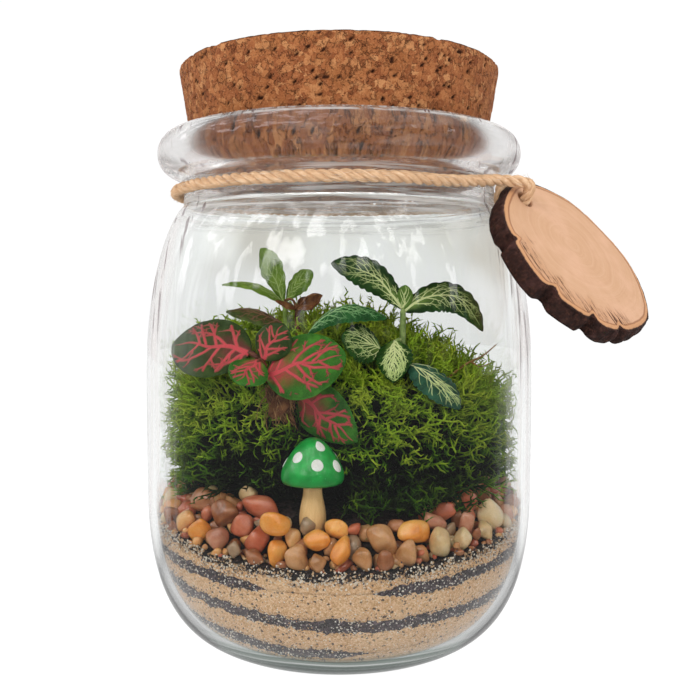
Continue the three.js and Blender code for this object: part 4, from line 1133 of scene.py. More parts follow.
def level(rule, azimuth):
    return rule[0] + rule[1] * math.sin(math.radians(azimuth)) ** 2


def soil_edge(azimuth):
    return level(SAND_TOP, azimuth) + SOIL_EDGE


def soil_height(azimuth, radius):
    share = min(1, radius / SOIL_DITCH_R) ** SOIL_POWER
    return SOIL_TOP - (SOIL_TOP - soil_edge(azimuth)) * share


def between(azimuth, start, full, thin, end):
    """1 from full to thin and 0 outside start to end, for azimuths from -180 to 180."""
    return smoothstep(azimuth, start, full) * (1 - smoothstep(azimuth, thin, end))


def grit_share(number, azimuth):
    """A grit layer's thickness as a share of the full one: the low layer is missing at the right, the high
    one in front."""
    turned = (azimuth + 180) % 360 - 180
    if number == 0:
        return 1 - between(turned, -8, 14, 100, 130)
    if number == 2:
        return 1 - between(turned, -27, -17, 8, 18)
    return 1


def ragged(azimuth, seed, size):
    """Height of a layer's uneven edge at the glass."""
    spot = at(azimuth, 52, seed * 31)
    return size * (0.6 * lumps(spot, 9) + 0.7 * lumps(spot, 2.4) + 0.65 * lumps(spot, 0.9))


def boundary(index, azimuth):
    """Height at the glass of boundary 0 to 6, from the lowest grit's underside to the sand's top."""
    if index == 6:
        return level(SAND_TOP, azimuth) + ragged(azimuth, 6, 1.0)
    number = index // 2
    rule = (GRIT_LOW, GRIT_MIDDLE, GRIT_HIGH)[number]
    slant = GRIT_SLANT * math.sin(math.radians(azimuth)) if number == 1 else 0
    share = grit_share(number, azimuth)
    half = 0.5 * GRIT_THICK * share
    side = 1 if index % 2 else -1
    loose = ragged(azimuth, index, 0.3 + 0.55 * share)
    return level(rule, azimuth) - slant + side * half + loose * (1 if share > 0.02 else 0)


def make_layers():
    """Seven discs on one another, each ring of points from inside over the glass's side to inside again."""
    azimuths = [360 * i / LAYER_SEGMENTS for i in range(LAYER_SEGMENTS)]
    heights = [[boundary(k, azimuth) for azimuth in azimuths] for k in range(7)]
    for k in range(1, 7):
        heights[k] = [max(high, low + 0.02) for high, low in zip(heights[k], heights[k - 1])]
    heights.insert(0, [FLOOR + GAP] * LAYER_SEGMENTS)
    sand = grain_material("sand_grains", 0.36, ["c4945e", "dfb084", "ebc298", "f8d8b2"], 0.035, 0.035)
    grit = grain_material("grit_grains", 0.55, ["1c1618", "362b2f", "524347", "74646a"], 0.08, 0.1, 0.75, 0.4)
    names = ["sand_1", "grit_1", "sand_2", "grit_2", "sand_3", "grit_3", "sand_4"]
    for number, name in enumerate(names):
        points = []
        rows = 12 if number == 0 else 6
        for azimuth, low, high in zip(azimuths, heights[number], heights[number + 1]):
            points.append(at(azimuth, LAYER_INNER_SHARE * (inner_radius(low) - GAP), low))
            for row in range(rows + 1):
                z = low + (high - low) * row / rows
                grain = 0.09 * lumps(at(azimuth, 50, z), 0.8, 1)
                points.append(at(azimuth, inner_radius(z) - GAP - 0.08 + min(grain, 0.06), z))
            points.append(at(azimuth, LAYER_INNER_SHARE * (inner_radius(high) - GAP), high))
        size = rows + 3
        low_centre, high_centre = len(points), len(points) + 1
        for first in (0, size - 1):
            points.append(Vector((0, 0, sum(p.z for p in points[first:low_centre:size]) / LAYER_SEGMENTS)))
        quads, triangles = [], []
        for i in range(LAYER_SEGMENTS):
            here, after = i * size, (i + 1) % LAYER_SEGMENTS * size
            quads += [(here + row, after + row, after + row + 1, here + row + 1) for row in range(size - 1)]
            triangles.append((low_centre, after, here))
            triangles.append((high_centre, here + size - 1, after + size - 1))
        slot = name.split("_")[0]
        piece = build_mesh("layer_" + name, points, [triangles, quads], [sand if slot == "sand" else grit])
        dress(piece, slot, name)


ROUGH_STONE = [(1, 0, 0), (0, 1, 0), (-1, 0, 0), (0, -1, 0), (0, 0, 1), (0, 0, -1)]
ROUGH_FACES = [(i, (i + 1) % 4, 4) for i in range(4)] + [((i + 1) % 4, i, 5) for i in range(4)]


def random_turn(draw):
    return np.array(Quaternion(draw.normal(size=4)).normalized().to_matrix())


def scatter_stones(name, grains, material, seed, slot):
    """Small angular grains, each a bent octahedron with a place and a size, as one piece."""
    draw = np.random.default_rng(seed)
    base = np.array(ROUGH_STONE, float)
    parts = Parts()
    for place, size in grains:
        turn = random_turn(draw)
        shape = base * draw.uniform(0.8, 1.25, (6, 1)) * draw.uniform(0.7, 1.1, 3)
        parts.add(shape @ turn.T * size + np.array(place), ROUGH_FACES)
    dress(parts.piece(name, material, smooth=False), slot)


def make_wall_grains():
    """Loose grains at the glass: coarse ones on the sand's top, small ones along each layer's edges."""
    draw = random.Random(21)
    groups = {"pale": [], "dark": [], "tan": []}

    def lay(z, azimuth, size, kinds):
        groups[draw.choice(kinds)].append((at(azimuth, inner_radius(z) - GAP - 0.3 * size, z), size))

    for _ in range(TOP_GRAINS):
        azimuth = draw.uniform(-180, 180)
        z = boundary(6, azimuth) + draw.triangular(-2.2, 3.4, 0.2)
        lay(z, azimuth, draw.uniform(0.14, 0.44), ["pale", "pale", "tan", "tan", "dark"])
    for _ in range(EDGE_GRAINS):
        azimuth = draw.uniform(-180, 180)
        index = draw.randrange(6)
        if draw.random() <= grit_share(index // 2, azimuth) + 0.08:
            z = boundary(index, azimuth) + draw.gauss(0, 0.85)
            lay(z, azimuth, draw.uniform(0.12, 0.3), ["pale", "pale", "dark", "dark", "dark", "tan"])
    for _ in range(INSIDE_GRAINS):
        azimuth = draw.uniform(-180, 180)
        number = draw.randrange(3)
        if draw.random() <= grit_share(number, azimuth):
            low, high = boundary(2 * number, azimuth), boundary(2 * number + 1, azimuth)
            lay(draw.uniform(low, high), azimuth, draw.uniform(0.1, 0.26), ["pale", "dark", "dark"])
    looks = [("pale", "d8c8b2", "f4eadc", "sand"), ("dark", "2a2326", "584a4e", "grit"),
             ("tan", "a57e58", "d8b48a", "sand")]
    for seed, (kind, low, high, slot) in enumerate(looks):
        material = plain_grain(kind + "_grains", low, high)
        scatter_stones("loose_grains_" + kind, groups[kind], material, seed, slot)


def make_soil():
    colors = ["0c0a09", "171211", "241c1a", "3a2e29"]
    material = grain_material("soil_crumbs", 1.3, colors, 0.006, 0.2, 0.9, 0.7)

    def change(point, azimuth, step):
        if step == 0:
            z = level(SAND_TOP, azimuth) + ragged(azimuth, 6, 1.0) + 0.05
            return at(azimuth, inner_radius(z) - GAP - 0.1, z)
        share = 1 - ((step - 1) / SOIL_RINGS) ** 1.3
        radius = share * (inner_radius(soil_edge(azimuth)) - GAP - 0.15)
        rough = 0.7 * lumps((point.x * share, point.y * share, 3), 2.6) * smoothstep(step, 0, 4)
        return at(azimuth, radius, soil_height(azimuth, radius) + (rough + 0.2 * (step > 1)))

    profile = [(0, 30)] + [(50, 33)] * (SOIL_RINGS + 1) + [(0, SOIL_TOP)]
    dress(lathe("soil_bed", profile, SOIL_SEGMENTS, material, change), "soil", "soil")
    draw = random.Random(4)
    grains = []
    for _ in range(SOIL_LUMPS):
        azimuth = draw.uniform(-180, 180)
        radius = draw.uniform(40 if abs(azimuth) < 100 else 46, 53.2)
        size = draw.uniform(0.3, 0.95)
        z = soil_height(azimuth, radius) + 0.2 * size
        grains.append((at(azimuth, min(radius, inner_radius(z) - GAP - size), z), size))
    scatter_stones("soil_lumps", grains, plain_grain("soil_lump", "17110f", "3b2d27", 0.85), 9, "soil")


# Pebbles


PEBBLE_LOOKS = {
    "pebble_orange": ("c0641e", "ec9438", "fbbe6a"),
    "pebble_pale_orange": ("c07a3c", "e6a05a", "f6c88c"),
    "pebble_red": ("8e4028", "be6040", "de8c68"),
    "pebble_brown": ("744026", "a4663f", "c48a62"),
    "pebble_tan": ("946038", "c28854", "e0b080"),
    "pebble_pink": ("9a5640", "be7c5e", "daa686"),
    "pebble_cream": ("b49060", "dcba86", "f4deb6"),
    "pebble_grey": ("6e523c", "967a5e", "b89c7c"),
}


def unit_ball(columns, rows):
    """Directions and faces of a ball."""
    points = [(0, 0, -1)]
    for row in range(1, rows):
        tilt = math.pi * row / rows
        for i in range(columns):
            turn = 2 * math.pi * i / columns
            across = math.sin(tilt)
            points.append((across * math.cos(turn), across * math.sin(turn), -math.cos(tilt)))
    points.append((0, 0, 1))
    top = len(points) - 1
    last = top - columns
    triangles = [(0, 1 + (i + 1) % columns, 1 + i) for i in range(columns)]
    triangles += [(top, last + i, last + (i + 1) % columns) for i in range(columns)]
    return np.array(points), triangles, ring_quads(rows - 1, columns, 1)


def worn_stone(directions, draw, sharp=6):
    """How far a worn angular stone reaches in each direction: random flat sides, rounded edges between."""
    sides = draw.normal(size=(13, 3))
    sides /= np.linalg.norm(sides, axis=1, keepdims=True)
    sides = np.concatenate([sides, -sides[:6]])
    reach = draw.uniform(0.78, 1.12, len(sides))
    lean = np.maximum(directions @ (sides / reach[:, None]).T, 0)
    return 1 / (lean ** sharp).sum(1) ** (1 / sharp)


def make_pebbles():
    """A stone round each of the CAD's pebbles; returns their centres and least half sizes."""
    materials = {slot: pebble_material(slot + "_stone", slot) for slot in PEBBLE_LOOKS}
    slots = {s["node"]: s["material_slot"] for s in frame["record"]["subparts"]}
    directions, triangles, quads = unit_ball(*PEBBLE_MESH)
    balls = []
    for number, name in enumerate(sorted(n for n in CAD_NODES if n.startswith("pebble_"))):
        points = np.array([tuple(v.co) for v in CAD_NODES[name].data.vertices]) / MM
        centre = (points.min(0) + points.max(0)) / 2
        _, _, axes = np.linalg.svd(points - centre, full_matrices=False)
        half = np.abs((points - centre) @ axes.T).max(0) * 1.1
        shape = directions * worn_stone(directions, np.random.default_rng(70 + number))[:, None]
        shape /= np.abs(shape).max(0)
        placed = (shape * half) @ axes + centre
        placed = [p + d * 0.1 * lumps(p, 2.5, 2) for p, d in zip(placed, directions)]
        stone = build_mesh(name + "_stone", placed, [triangles, quads], [materials[slots[name]]])
        dress(stone, slots[name], name)
        balls.append((centre, float(half.min())))
    return balls


def make_gravel(balls):
    """The smaller stones that fill the gaps between the pebbles."""
    draw = np.random.default_rng(13)
    directions, triangles, quads = unit_ball(*GRAVEL_MESH)
    looks = [("gravel_brown", "pebble_brown"), ("gravel_tan", "pebble_tan"),
             ("gravel_orange", "pebble_pale_orange"), ("gravel_red", "pebble_red"),
             ("gravel_grey", "pebble_grey"), ("gravel_cream", "pebble_cream")]
    chances = [0.2, 0.25, 0.26, 0.17, 0.04, 0.08]
    groups = [Parts() for _ in looks]
    for lowest, highest, tries in GRAVEL_SIZES:
        for _ in range(tries):
            size = draw.uniform(lowest, highest)
            azimuth = draw.uniform(-GRAVEL_AZIMUTH, GRAVEL_AZIMUTH)
            in_front = abs(azimuth) < FRONT_AZIMUTH
            inner, outer = (47, 53) if in_front else (42, 58)
            radius = draw.uniform(inner, outer) - size
            z = soil_height(azimuth, radius) + size * draw.uniform(0.5, 0.95) + draw.choice([0, 0, 2.2])
            radius = min(radius, inner_radius(z) - GAP - 1.05 * size)
            place = np.array(at(azimuth, radius, z))
            near = [np.linalg.norm(place - centre) - reach for centre, reach in balls]
            if min(near) < 0.62 * size or min(near) > (2.2 if in_front else 4) * size:
                continue
            if z > soil_height(azimuth, radius) + size and sum(gap < 1.25 * size for gap in near) < 2:
                continue
            shape = directions * worn_stone(directions, draw)[:, None] * draw.uniform(0.8, 1.05, 3)
            turn = random_turn(draw)
            groups[draw.choice(len(looks), p=chances)].add(shape @ turn.T * size + place, triangles, quads)
            balls.append((place, 0.9 * size))
    for group, (name, slot) in zip(groups, looks):
        dress(group.piece(name, pebble_material(name + "_stone", slot)), slot)


# Leaves


def ovate(u, widest, blunt):
    """Half the width of a blade along it, as a share of its greatest."""
    return max(0.0, math.sin(math.pi * u ** (math.log(0.5) / math.log(widest)))) ** blunt


class Leaf:
    """A blade's middle surface, by a share u of its length and v of its half width."""

    def __init__(self, start, end, wide, face, bow, cup, curve, widest, blunt, scallops=0, lumpy=0.25,
                 seed=0):
        self.start = Vector(start)
        self.along = Vector(end) - self.start
        face = Vector(face)
        self.face = (face - self.along * (face.dot(self.along) / self.along.length_squared)).normalized()
        self.arch = self.face * bow + self.along.normalized().cross(self.face) * curve
        self.length = self.along.length
        self.wide, self.cup = wide, cup
        self.widest, self.blunt = widest, blunt
        self.scallops, self.lumpy, self.seed = scallops, lumpy, seed

    def half(self, u):
        teeth = 1
        if self.scallops:
            teeth = 1 - 0.1 * abs(math.sin(math.pi * self.scallops * u)) ** 4
        return max(0.12, self.wide / 2 * ovate(u, self.widest, self.blunt) * teeth)

    def point(self, u, v, out=0.0):
        shape = ovate(u, self.widest, self.blunt)
        tangent = (self.along + self.arch * (4 * (1 - 2 * u))).normalized()
        across = tangent.cross(self.face).normalized()
        up = across.cross(tangent)
        spot = Vector((u * self.length, v * self.wide / 2, 9 * self.seed))
        quilt = self.lumpy * lumps(spot, 2.6, 2) * min(1, 4 * u) * (0.3 + 0.7 * abs(v))
        fold = -0.1 * math.exp(-((v / 0.12) ** 2)) * shape
        wave = 0.45 * lumps((u * 3, math.copysign(1, v), self.seed), 1, 1) * abs(v) ** 3
        lift = quilt + fold + wave + out - self.cup * v * v * shape
        middle = self.start + self.along * u + self.arch * (4 * u * (1 - u))
        return middle + across * (self.half(u) * v) + up * lift


def add_blade(parts, leaf, thick=0.42, steps=56, across=22):
    """Both faces of a blade with a rounded edge. Each point keeps its share of the length and the width."""
    points, values = [], []
    for layer in (1, -1):
        for i in range(steps + 1):
            u = 0.5 - 0.5 * math.cos(math.pi * i / steps)
            for k in range(across + 1):
                v = math.sin(math.pi / 2 * (2 * k / across - 1))
                body = math.sqrt(max(0.0, 1 - v ** 8))
                points.append(leaf.point(u, v, layer * thick / 2 * body))
                values.append(u)
                parts.sides.append(abs(v))
    row = across + 1
    face = (steps + 1) * row
    quads = []
    for i in range(steps):
        for k in range(across):
            a, b, c, d = i * row + k, i * row + k + 1, (i + 1) * row + k + 1, (i + 1) * row + k
            quads.append((a, b, c, d))
            quads.append((face + a, face + d, face + c, face + b))
        for a, flip in ((i * row, False), (i * row + across, True)):
            strip = (a, a + row, face + a + row, face + a)
            quads.append(strip[::-1] if flip else strip)
    for k in range(across):
        quads.append((k, face + k, face + k + 1, k + 1))
        low = steps * row + k
        quads.append((low, low + 1, face + low + 1, face + low))
    parts.add(points, (), quads, values)


def add_vein(parts, leaf, line, widths, lift, values):
    """A low round ridge on the blade along (x, y) points in millimetres, with a half width at each."""
    used = []
    for (x, y), width, value in zip(line, widths, values):
        if not 0.0 <= x / leaf.length <= 0.965 or abs(y) > 0.88 * leaf.half(x / leaf.length):
            break
        used.append((x, y, width, value))
    if len(used) < 3:
        return
    x, y, width, value = used[-1]
    used[-1] = (x, y, 0.4 * width, value)
    profile = [(-1, -0.1), (-0.6, 0.75 * lift), (0, lift), (0.6, 0.75 * lift), (1, -0.1)]
    count = len(profile)
    points, shades = [], []
    for i, (x, y, width, value) in enumerate(used):
        before, after = used[max(0, i - 1)], used[min(len(used) - 1, i + 1)]
        dx, dy = after[0] - before[0], after[1] - before[1]
        size = math.hypot(dx, dy) or 1
        for offset, high in profile:
            px, py = x - offset * width * dy / size, y + offset * width * dx / size
            u = min(0.99, max(0.005, px / leaf.length))
            v = max(-0.96, min(0.96, py / leaf.half(u)))
            points.append(tuple(leaf.point(u, v, 0.21 + high)))
            shades.append(value)
    quads = []
    for i in range(len(used) - 1):
        a, b = count * i, count * (i + 1)
        quads += [(a + k, b + k, b + k + 1, a + k + 1) for k in range(count - 1)]
        quads.append((a + count - 1, b + count - 1, b, a))
    end = count * (len(used) - 1)
    triangles = [(0, k, k + 1) for k in range(1, count - 1)]
    triangles += [(end, end + k + 1, end + k) for k in range(1, count - 1)]
    parts.add(points, triangles, quads, shades)


class Veins:
    """A midrib with pairs of side veins that leave it early, bend to the tip and fork."""

    def __init__(self, pairs, midrib, lateral, spread=55, forks=2, lift=0.06, last=0.72,
                 branch=(0.3, 0.5, 0.68, 0.84), taper=0.6, curl=0.55, loose=0.015):
        self.pairs, self.midrib, self.lateral = pairs, midrib, lateral
        self.spread, self.forks, self.lift, self.last = spread, forks, lift, last
        self.branch, self.taper, self.curl, self.loose = branch, taper, curl, loose

    def draw_on(self, parts, leaf, seed):
        draw = random.Random(seed)
        length = leaf.length
        count = 20
        spine = [(length * (0.01 + 0.94 * i / count), (0.1 + 8 * self.loose) * math.sin(i * 0.6 + seed))
                 for i in range(count + 1)]
        widths = [self.midrib * (1 - 0.85 * (i / count) ** 0.8) for i in range(count + 1)]
        add_vein(parts, leaf, spine, widths, self.lift * 1.3, [1 - 0.7 * i / count for i in range(count + 1)])
        for side in (-1, 1):
            for k in range(self.pairs):
                share = 0.03 + (self.last - 0.03) * ((k + 0.45 * (side > 0)) / self.pairs) ** 0.9
                share = max(0.02, share + draw.uniform(-self.loose, self.loose))
                heading = math.radians(self.spread + draw.uniform(-300, 300) * self.loose - 20 * share)
                reach = 1.05 * leaf.half(min(0.85, share + 0.2)) / math.sin(heading)
                width = self.lateral * (1 - 0.45 * share)
                start = (share * length, 0.0)
                value = 1 - 0.5 * share
                self.grow(parts, leaf, draw, start, side * heading, reach, width, side, self.forks, value)

    def grow(self, parts, leaf, draw, start, heading, reach, width, side, forks, value):
        steps = max(4, int(reach / 0.5))
        x, y = start
        line, widths, values = [(x, y)], [width], [value]
        forking = {max(1, round(steps * (share + draw.uniform(-4, 4) * self.loose))) for share in self.branch}
        curl = self.curl + draw.uniform(-12, 12) * self.loose
        children = []
        for i in range(1, steps + 1):
            heading += -side * curl / steps + draw.uniform(-0.11, 0.11)
            x += reach / steps * math.cos(heading)
            y += reach / steps * math.sin(heading)
            line.append((x, y))
            widths.append(width * (1 - self.taper * i / steps))
            values.append(value * (1 - 0.6 * i / steps))
            if forks and i in forking:
                sway = -side if len(children) % 2 else side
                angle = heading + sway * draw.uniform(0.5, 0.85)
                far = reach * draw.uniform(0.26, 0.4)
                children.append(((x, y), angle, far, widths[-1] * 0.8, values[-1]))
        add_vein(parts, leaf, line, widths, self.lift, values)
        for begin, angle, far, thin, shade in children:
            self.grow(parts, leaf, draw, begin, angle, far, thin, side, forks - 1, shade)


RED_BRANCHES = (0.34, 0.6, 0.84)
RED_NERVES = Veins(5, 1.1, 0.6, 60, 2, branch=RED_BRANCHES, taper=0.4, curl=0.3, loose=0.045)
RED_HALO = Veins(5, 1.6, 1.0, 60, 2, lift=0.02, branch=RED_BRANCHES, taper=0.35, curl=0.3, loose=0.045)
SMALL_NERVES = Veins(4, 0.8, 0.4, 58, 1, branch=(0.45, 0.75), taper=0.4, curl=0.3, loose=0.04)
SMALL_HALO = Veins(4, 1.2, 0.7, 58, 1, lift=0.02, branch=(0.45, 0.75), taper=0.35, curl=0.3, loose=0.04)
SMALL_WIDTH = 12


def make_red_plant():
    looks = [
        ("dark", [0, 2], ("1e3010", "2a4016", "3e5422", "7c2c36", 0.8), ["red_nerve_plant"]),
        ("green", [1, 3, 4], ("1e5010", "2c6418", "468428", "b83848", 0.95), []),
    ]
    veins, halos, stems = Parts(), Parts(), Parts()
    for name, numbers, colors, replaced in looks:
        blades = Parts()
        for i in numbers:
            leaf = Leaf(*RED_LEAVES[i], lumpy=0.3, seed=i)
            add_blade(blades, leaf)
            small = leaf.wide < SMALL_WIDTH
            (SMALL_NERVES if small else RED_NERVES).draw_on(veins, leaf, 30 + i)
            (SMALL_HALO if small else RED_HALO).draw_on(halos, leaf, 30 + i)
        blades = blades.piece("red_nerve_blades_" + name, leaf_material("red_leaf_" + name, *colors))
        dress(blades, "red_leaf", *replaced)
    dress(veins.piece("red_nerve_veins", vein_material("vein_coral", "8a3c34", "d04850")), "red_leaf")
    dress(halos.piece("red_nerve_vein_edges", vein_material("vein_edge", "4c4420", "8a4a38")), "red_leaf")
    for i, points in enumerate(RED_STEMS):
        stem_tube(stems, points, 0.85 if i else 1.0)
    dress(stems.piece("red_nerve_stems", stem_material("red_stem", "4e2a1e", "80482f")), "dried")


def make_shoot():
    blades, veins, stems = Parts(), Parts(), Parts()
    for i, data in enumerate(SHOOT_LEAVES[:3]):
        leaf = Leaf(*data, scallops=5, lumpy=0.35, seed=10 + i)
        add_blade(blades, leaf, steps=44, across=16)
        Veins(5, 0.4, 0.2, 52, 1).draw_on(veins, leaf, 60 + i)
    stem_tube(stems, SHOOT_STEMS[0], 0.95)
    green = leaf_material("shoot_green", "46641a", "5d7c28", "7a963c", "8ca450", 0.6)
    dress(blades.piece("shoot_blades", green), "shoot", "green_shoot")
    dress(veins.piece("shoot_veins", vein_material("vein_pale", "7e9848", "a2b66c")), "shoot")
    dress(stems.piece("shoot_stem", stem_material("shoot_stem_green", "6f8a3c", "9db45e")), "shoot")
    back, back_veins = Parts(), Parts()
    leaf = Leaf(*SHOOT_LEAVES[3], lumpy=0.35, seed=13)
    add_blade(back, leaf)
    Veins(5, 0.45, 0.24, 52, 1).draw_on(back_veins, leaf, 64)
    dusky = leaf_material("dusky_leaf", "2a3418", "414c22", "5c6e30", "6b3a30", 0.6)
    dress(back.piece("dusky_blade", dusky), "red_leaf")
    dress(back_veins.piece("dusky_veins", vein_material("vein_dusky", "6a4438", "96604c")), "red_leaf")


def make_white_plant():
    blades, young, blue, veins, stems = Parts(), Parts(), Parts(), Parts(), Parts()
    top = Veins(6, 0.55, 0.22, 44, 2)
    looks = [
        (blades, top), (blades, top), (young, Veins(3, 0.4, 0.2, 40, 0)),
        (blades, Veins(5, 0.3, 0.18, 40, 2, last=0.45)), (blades, Veins(8, 0.5, 0.36, 44, 2)),
        (blue, Veins(5, 0.34, 0.2, 30, 1, last=0.6)),
    ]
    for i, (data, (target, nerves)) in enumerate(zip(WHITE_LEAVES, looks)):
        bud = target is young
        leaf = Leaf(*data, scallops=0 if bud else 9, lumpy=0.3, seed=20 + i)
        add_blade(target, leaf, steps=40 if bud else 88, across=12 if bud else 20)
        nerves.draw_on(veins, leaf, 90 + i)
    for i, points in enumerate(WHITE_STEMS):
        stem_tube(stems, points, 0.75 if i else 1.05)
    green = leaf_material("white_leaf_green", "0f2c06", "1a3e0c", "2a541a", "7c9c48", 0.7)
    bluish = leaf_material("blue_green_leaf", "143424", "1f4a34", "30644a", "3d6a58", 0.4)
    fresh = leaf_material("young_leaf_green", "41601f", "567a2c", "749844", "8aa858", 0.5)
    dress(blades.piece("white_nerve_blades", green), "white_leaf", "white_nerve_plant")
    dress(blue.piece("white_nerve_low_blade", bluish), "white_leaf")
    dress(young.piece("white_nerve_bud", fresh), "white_leaf")
    dress(veins.piece("white_nerve_veins", vein_material("vein_cream", "a0ba60", "dfe6a6")), "white_leaf")
    dress(stems.piece("white_nerve_stems", stem_material("white_stem_green", "6d8843", "9fb36c")), "shoot")


def make_arched_leaf():
    """The bent leaf on its own stem, between the plants."""
    blades, veins, stems = Parts(), Parts(), Parts()
    leaf = Leaf(*ARCHED_LEAVES[0], scallops=9, lumpy=0.3, seed=31)
    add_blade(blades, leaf, steps=88)
    Veins(8, 0.4, 0.16, 48, 2).draw_on(veins, leaf, 130)
    stem_tube(stems, ARCHED_STEMS[0], 0.9)
    bright = leaf_material("arched_leaf_green", "0f3a14", "1a4e1e", "2c6c30", "2c7c3a", 0.3)
    dress(blades.piece("arched_blade", bright), "white_leaf", "arched_leaf")
    dress(veins.piece("arched_veins", vein_material("vein_pale_green", "5c9a58", "a4cc8c")), "white_leaf")
    dress(stems.piece("arched_stem", stem_material("arched_stem_green", "4d7a3c", "7fa05e")), "shoot")


def make_dried_sprig():
    stems, crumpled, threads, stalk = Parts(), Parts(), Parts(), Parts()
    stem_tube(stems, DRIED_STEMS[0], 0.8, taper=0.1)
    for points in DRIED_STEMS[1:]:
        stem_tube(stems, points, 0.5, steps=12, sides=8, taper=0.5)
    for i, data in enumerate(DRIED_LEAVES):
        add_blade(crumpled, Leaf(*data, lumpy=0.8, seed=40 + i), thick=0.3, steps=24, across=10)
    draw = random.Random(6)
    for _ in range(DRIED_THREADS):
        start = Vector((draw.uniform(-19, -12), draw.uniform(-39.8, -37.6), draw.uniform(74, 79)))
        drop = Vector((draw.uniform(-3, 4), draw.uniform(-1.4, 0.6), draw.uniform(-9, -3)))
        sway = Vector((draw.uniform(-2, 2), draw.uniform(-1.4, 0.4), draw.uniform(-1, 1)))
        path = [start, start + drop * 0.5 + sway, start + drop]
        stem_tube(threads, path, 0.13, steps=8, sides=4, taper=0.7)
    stem_tube(stalk, OLD_STALK, 0.42, steps=20, sides=6, taper=0.6)
    stem_tube(stalk, OLD_STALK_BRANCH, 0.3, steps=10, sides=6, taper=0.6)
    brown = stem_material("dried_brown", "4a2c1c", "8a5c3a", 0.85)
    dress(stems.piece("dried_stems", brown), "dried", "dried_sprig")
    dark = leaf_material("dried_leaf_brown", "2c170e", "57301c", "8a5e38", "2a170f", 0.3)
    dress(crumpled.piece("dried_leaves", dark), "dried")
    dress(threads.piece("dried_threads", stem_material("dried_thread", "6a4428", "b58a58", 0.8)), "dried")
    dress(stalk.piece("moss_old_stalk", stem_material("old_stalk", "7d5a30", "b08a4c", 0.7)), "dried")


# Moss


def moss_edge(azimuth):
    """The mound's radius, which is smaller in front, where the pebbles are."""
    front = (0.5 + 0.5 * math.cos(math.radians(azimuth))) ** 3
    return MOSS_SIDE_R - MOSS_FRONT_CUT * front + 0.8 * math.sin(math.radians(5 * azimuth))


def moss_top(azimuth, radius):
    x, y, _ = at(azimuth, radius, 0)
    wavy = 2.2 * math.sin(x / 7 + 1) * math.cos(y / 8) + 1.6 * math.sin(y / 6 + x / 9)
    lean = -0.14 * (x + 12) * (1 if x > -12 else -0.5)
    return MOSS_TOP + lean + wavy - MOSS_DROP * (radius / moss_edge(azimuth)) ** 3.2


def keep_out_tree():
    """Points with the distance that moss keeps from each of them."""
    found = []
    for data in RED_LEAVES + SHOOT_LEAVES + WHITE_LEAVES + ARCHED_LEAVES:
        leaf = Leaf(*data)
        for i in range(1, 24):
            for k in range(-5, 6):
                spot = leaf.point(i / 24, k / 5)
                found.append((spot, 1.1))
                found += [(spot - Vector((0, 2.2 * step, 0.2 * step)), 1.5) for step in (1, 2, 3)]
    for points in RED_STEMS + SHOOT_STEMS + WHITE_STEMS + ARCHED_STEMS + DRIED_STEMS:
        found += [(Vector(p), 1.2) for p in catmull_rom(points, 24)]
    for name in CAD_NODES:
        if name.startswith("pebble_"):
            low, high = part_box(name)
            found.append(((low + high) / 2 / MM, (high - low).length / MM * 0.33))
    for k in range(6):
        found.append((Vector((*MUSHROOM, STALK_FOOT + 4 * k)), 4.2 if k < 3 else CAP_R + 0.6))
    tree = kdtree.KDTree(len(found))
    for i, (place, _) in enumerate(found):
        tree.insert(place, i)
    tree.balance()
    return tree, [distance for _, distance in found]


def make_moss_core():
    """The mound under the strands, near black as painted shade deep in the moss: a wall of some rows, then a
    top that closes in rings.
    """

    def shape(point, azimuth, k):
        edge = moss_edge(azimuth) - 2.6
        if k <= MOSS_WALL_ROWS:
            foot = soil_height(azimuth, edge) + 0.4
            radius = edge
            z = foot + (moss_top(azimuth, edge) - 3 - foot) * k / MOSS_WALL_ROWS
        else:
            radius = edge * (1 - (k - MOSS_WALL_ROWS) / (MOSS_CORE_ROWS - MOSS_WALL_ROWS + 1))
            z = moss_top(azimuth, radius) - 3.2
        bumpy = 0.9 * lumps(at(azimuth, radius, z), 3.5)
        if k > MOSS_WALL_ROWS:
            return at(azimuth, radius, z + bumpy)
        return at(azimuth, radius + (bumpy if k else 0), z)

    profile = [(0, SOIL_TOP + 0.4)] + [(0, 0)] * (MOSS_CORE_ROWS + 1) + [(0, moss_top(0, 0) - 3.2)]
    # Near black: painted shade deep in the moss.
    dark = stem_material("moss_core_shade", "060b02", "101a05", 0.9)
    dress(lathe("moss_core", profile, MOSS_CORE_SEGMENTS, dark, shape), "moss", "moss_mound")


def over_core(p):
    """How far a point stands out of the core, roughly."""
    azimuth, radius = azimuth_of(p.x, p.y), math.hypot(p.x, p.y)
    edge = moss_edge(azimuth)
    if radius < edge:
        return p.z - moss_top(azimuth, radius)
    above = p.z - moss_top(azimuth, edge)
    return max(radius - edge, math.hypot(radius - edge, above) if above > 0 else 0)


def moss_color_and_painted_light(p):
    """Darker deep in the mound and pale at the tips, partly the strands' own colour and partly painted shade;
    painted light towards the top and painted shade low at the front.
    """
    # Painted light towards the top; painted shade low at the front.
    height = smoothstep(p.z, 50, 84)
    front = smoothstep(-p.y, 10, 34)
    low = 1 - 0.6 * smoothstep(-p.y, 22, 34) * smoothstep(-p.z, -60, -48)
    bright = (0.06 + over_core(p) / 8.5 + 0.72 * height - 0.42 * front * (1 - height)) * low
    return min(1, max(0, bright))


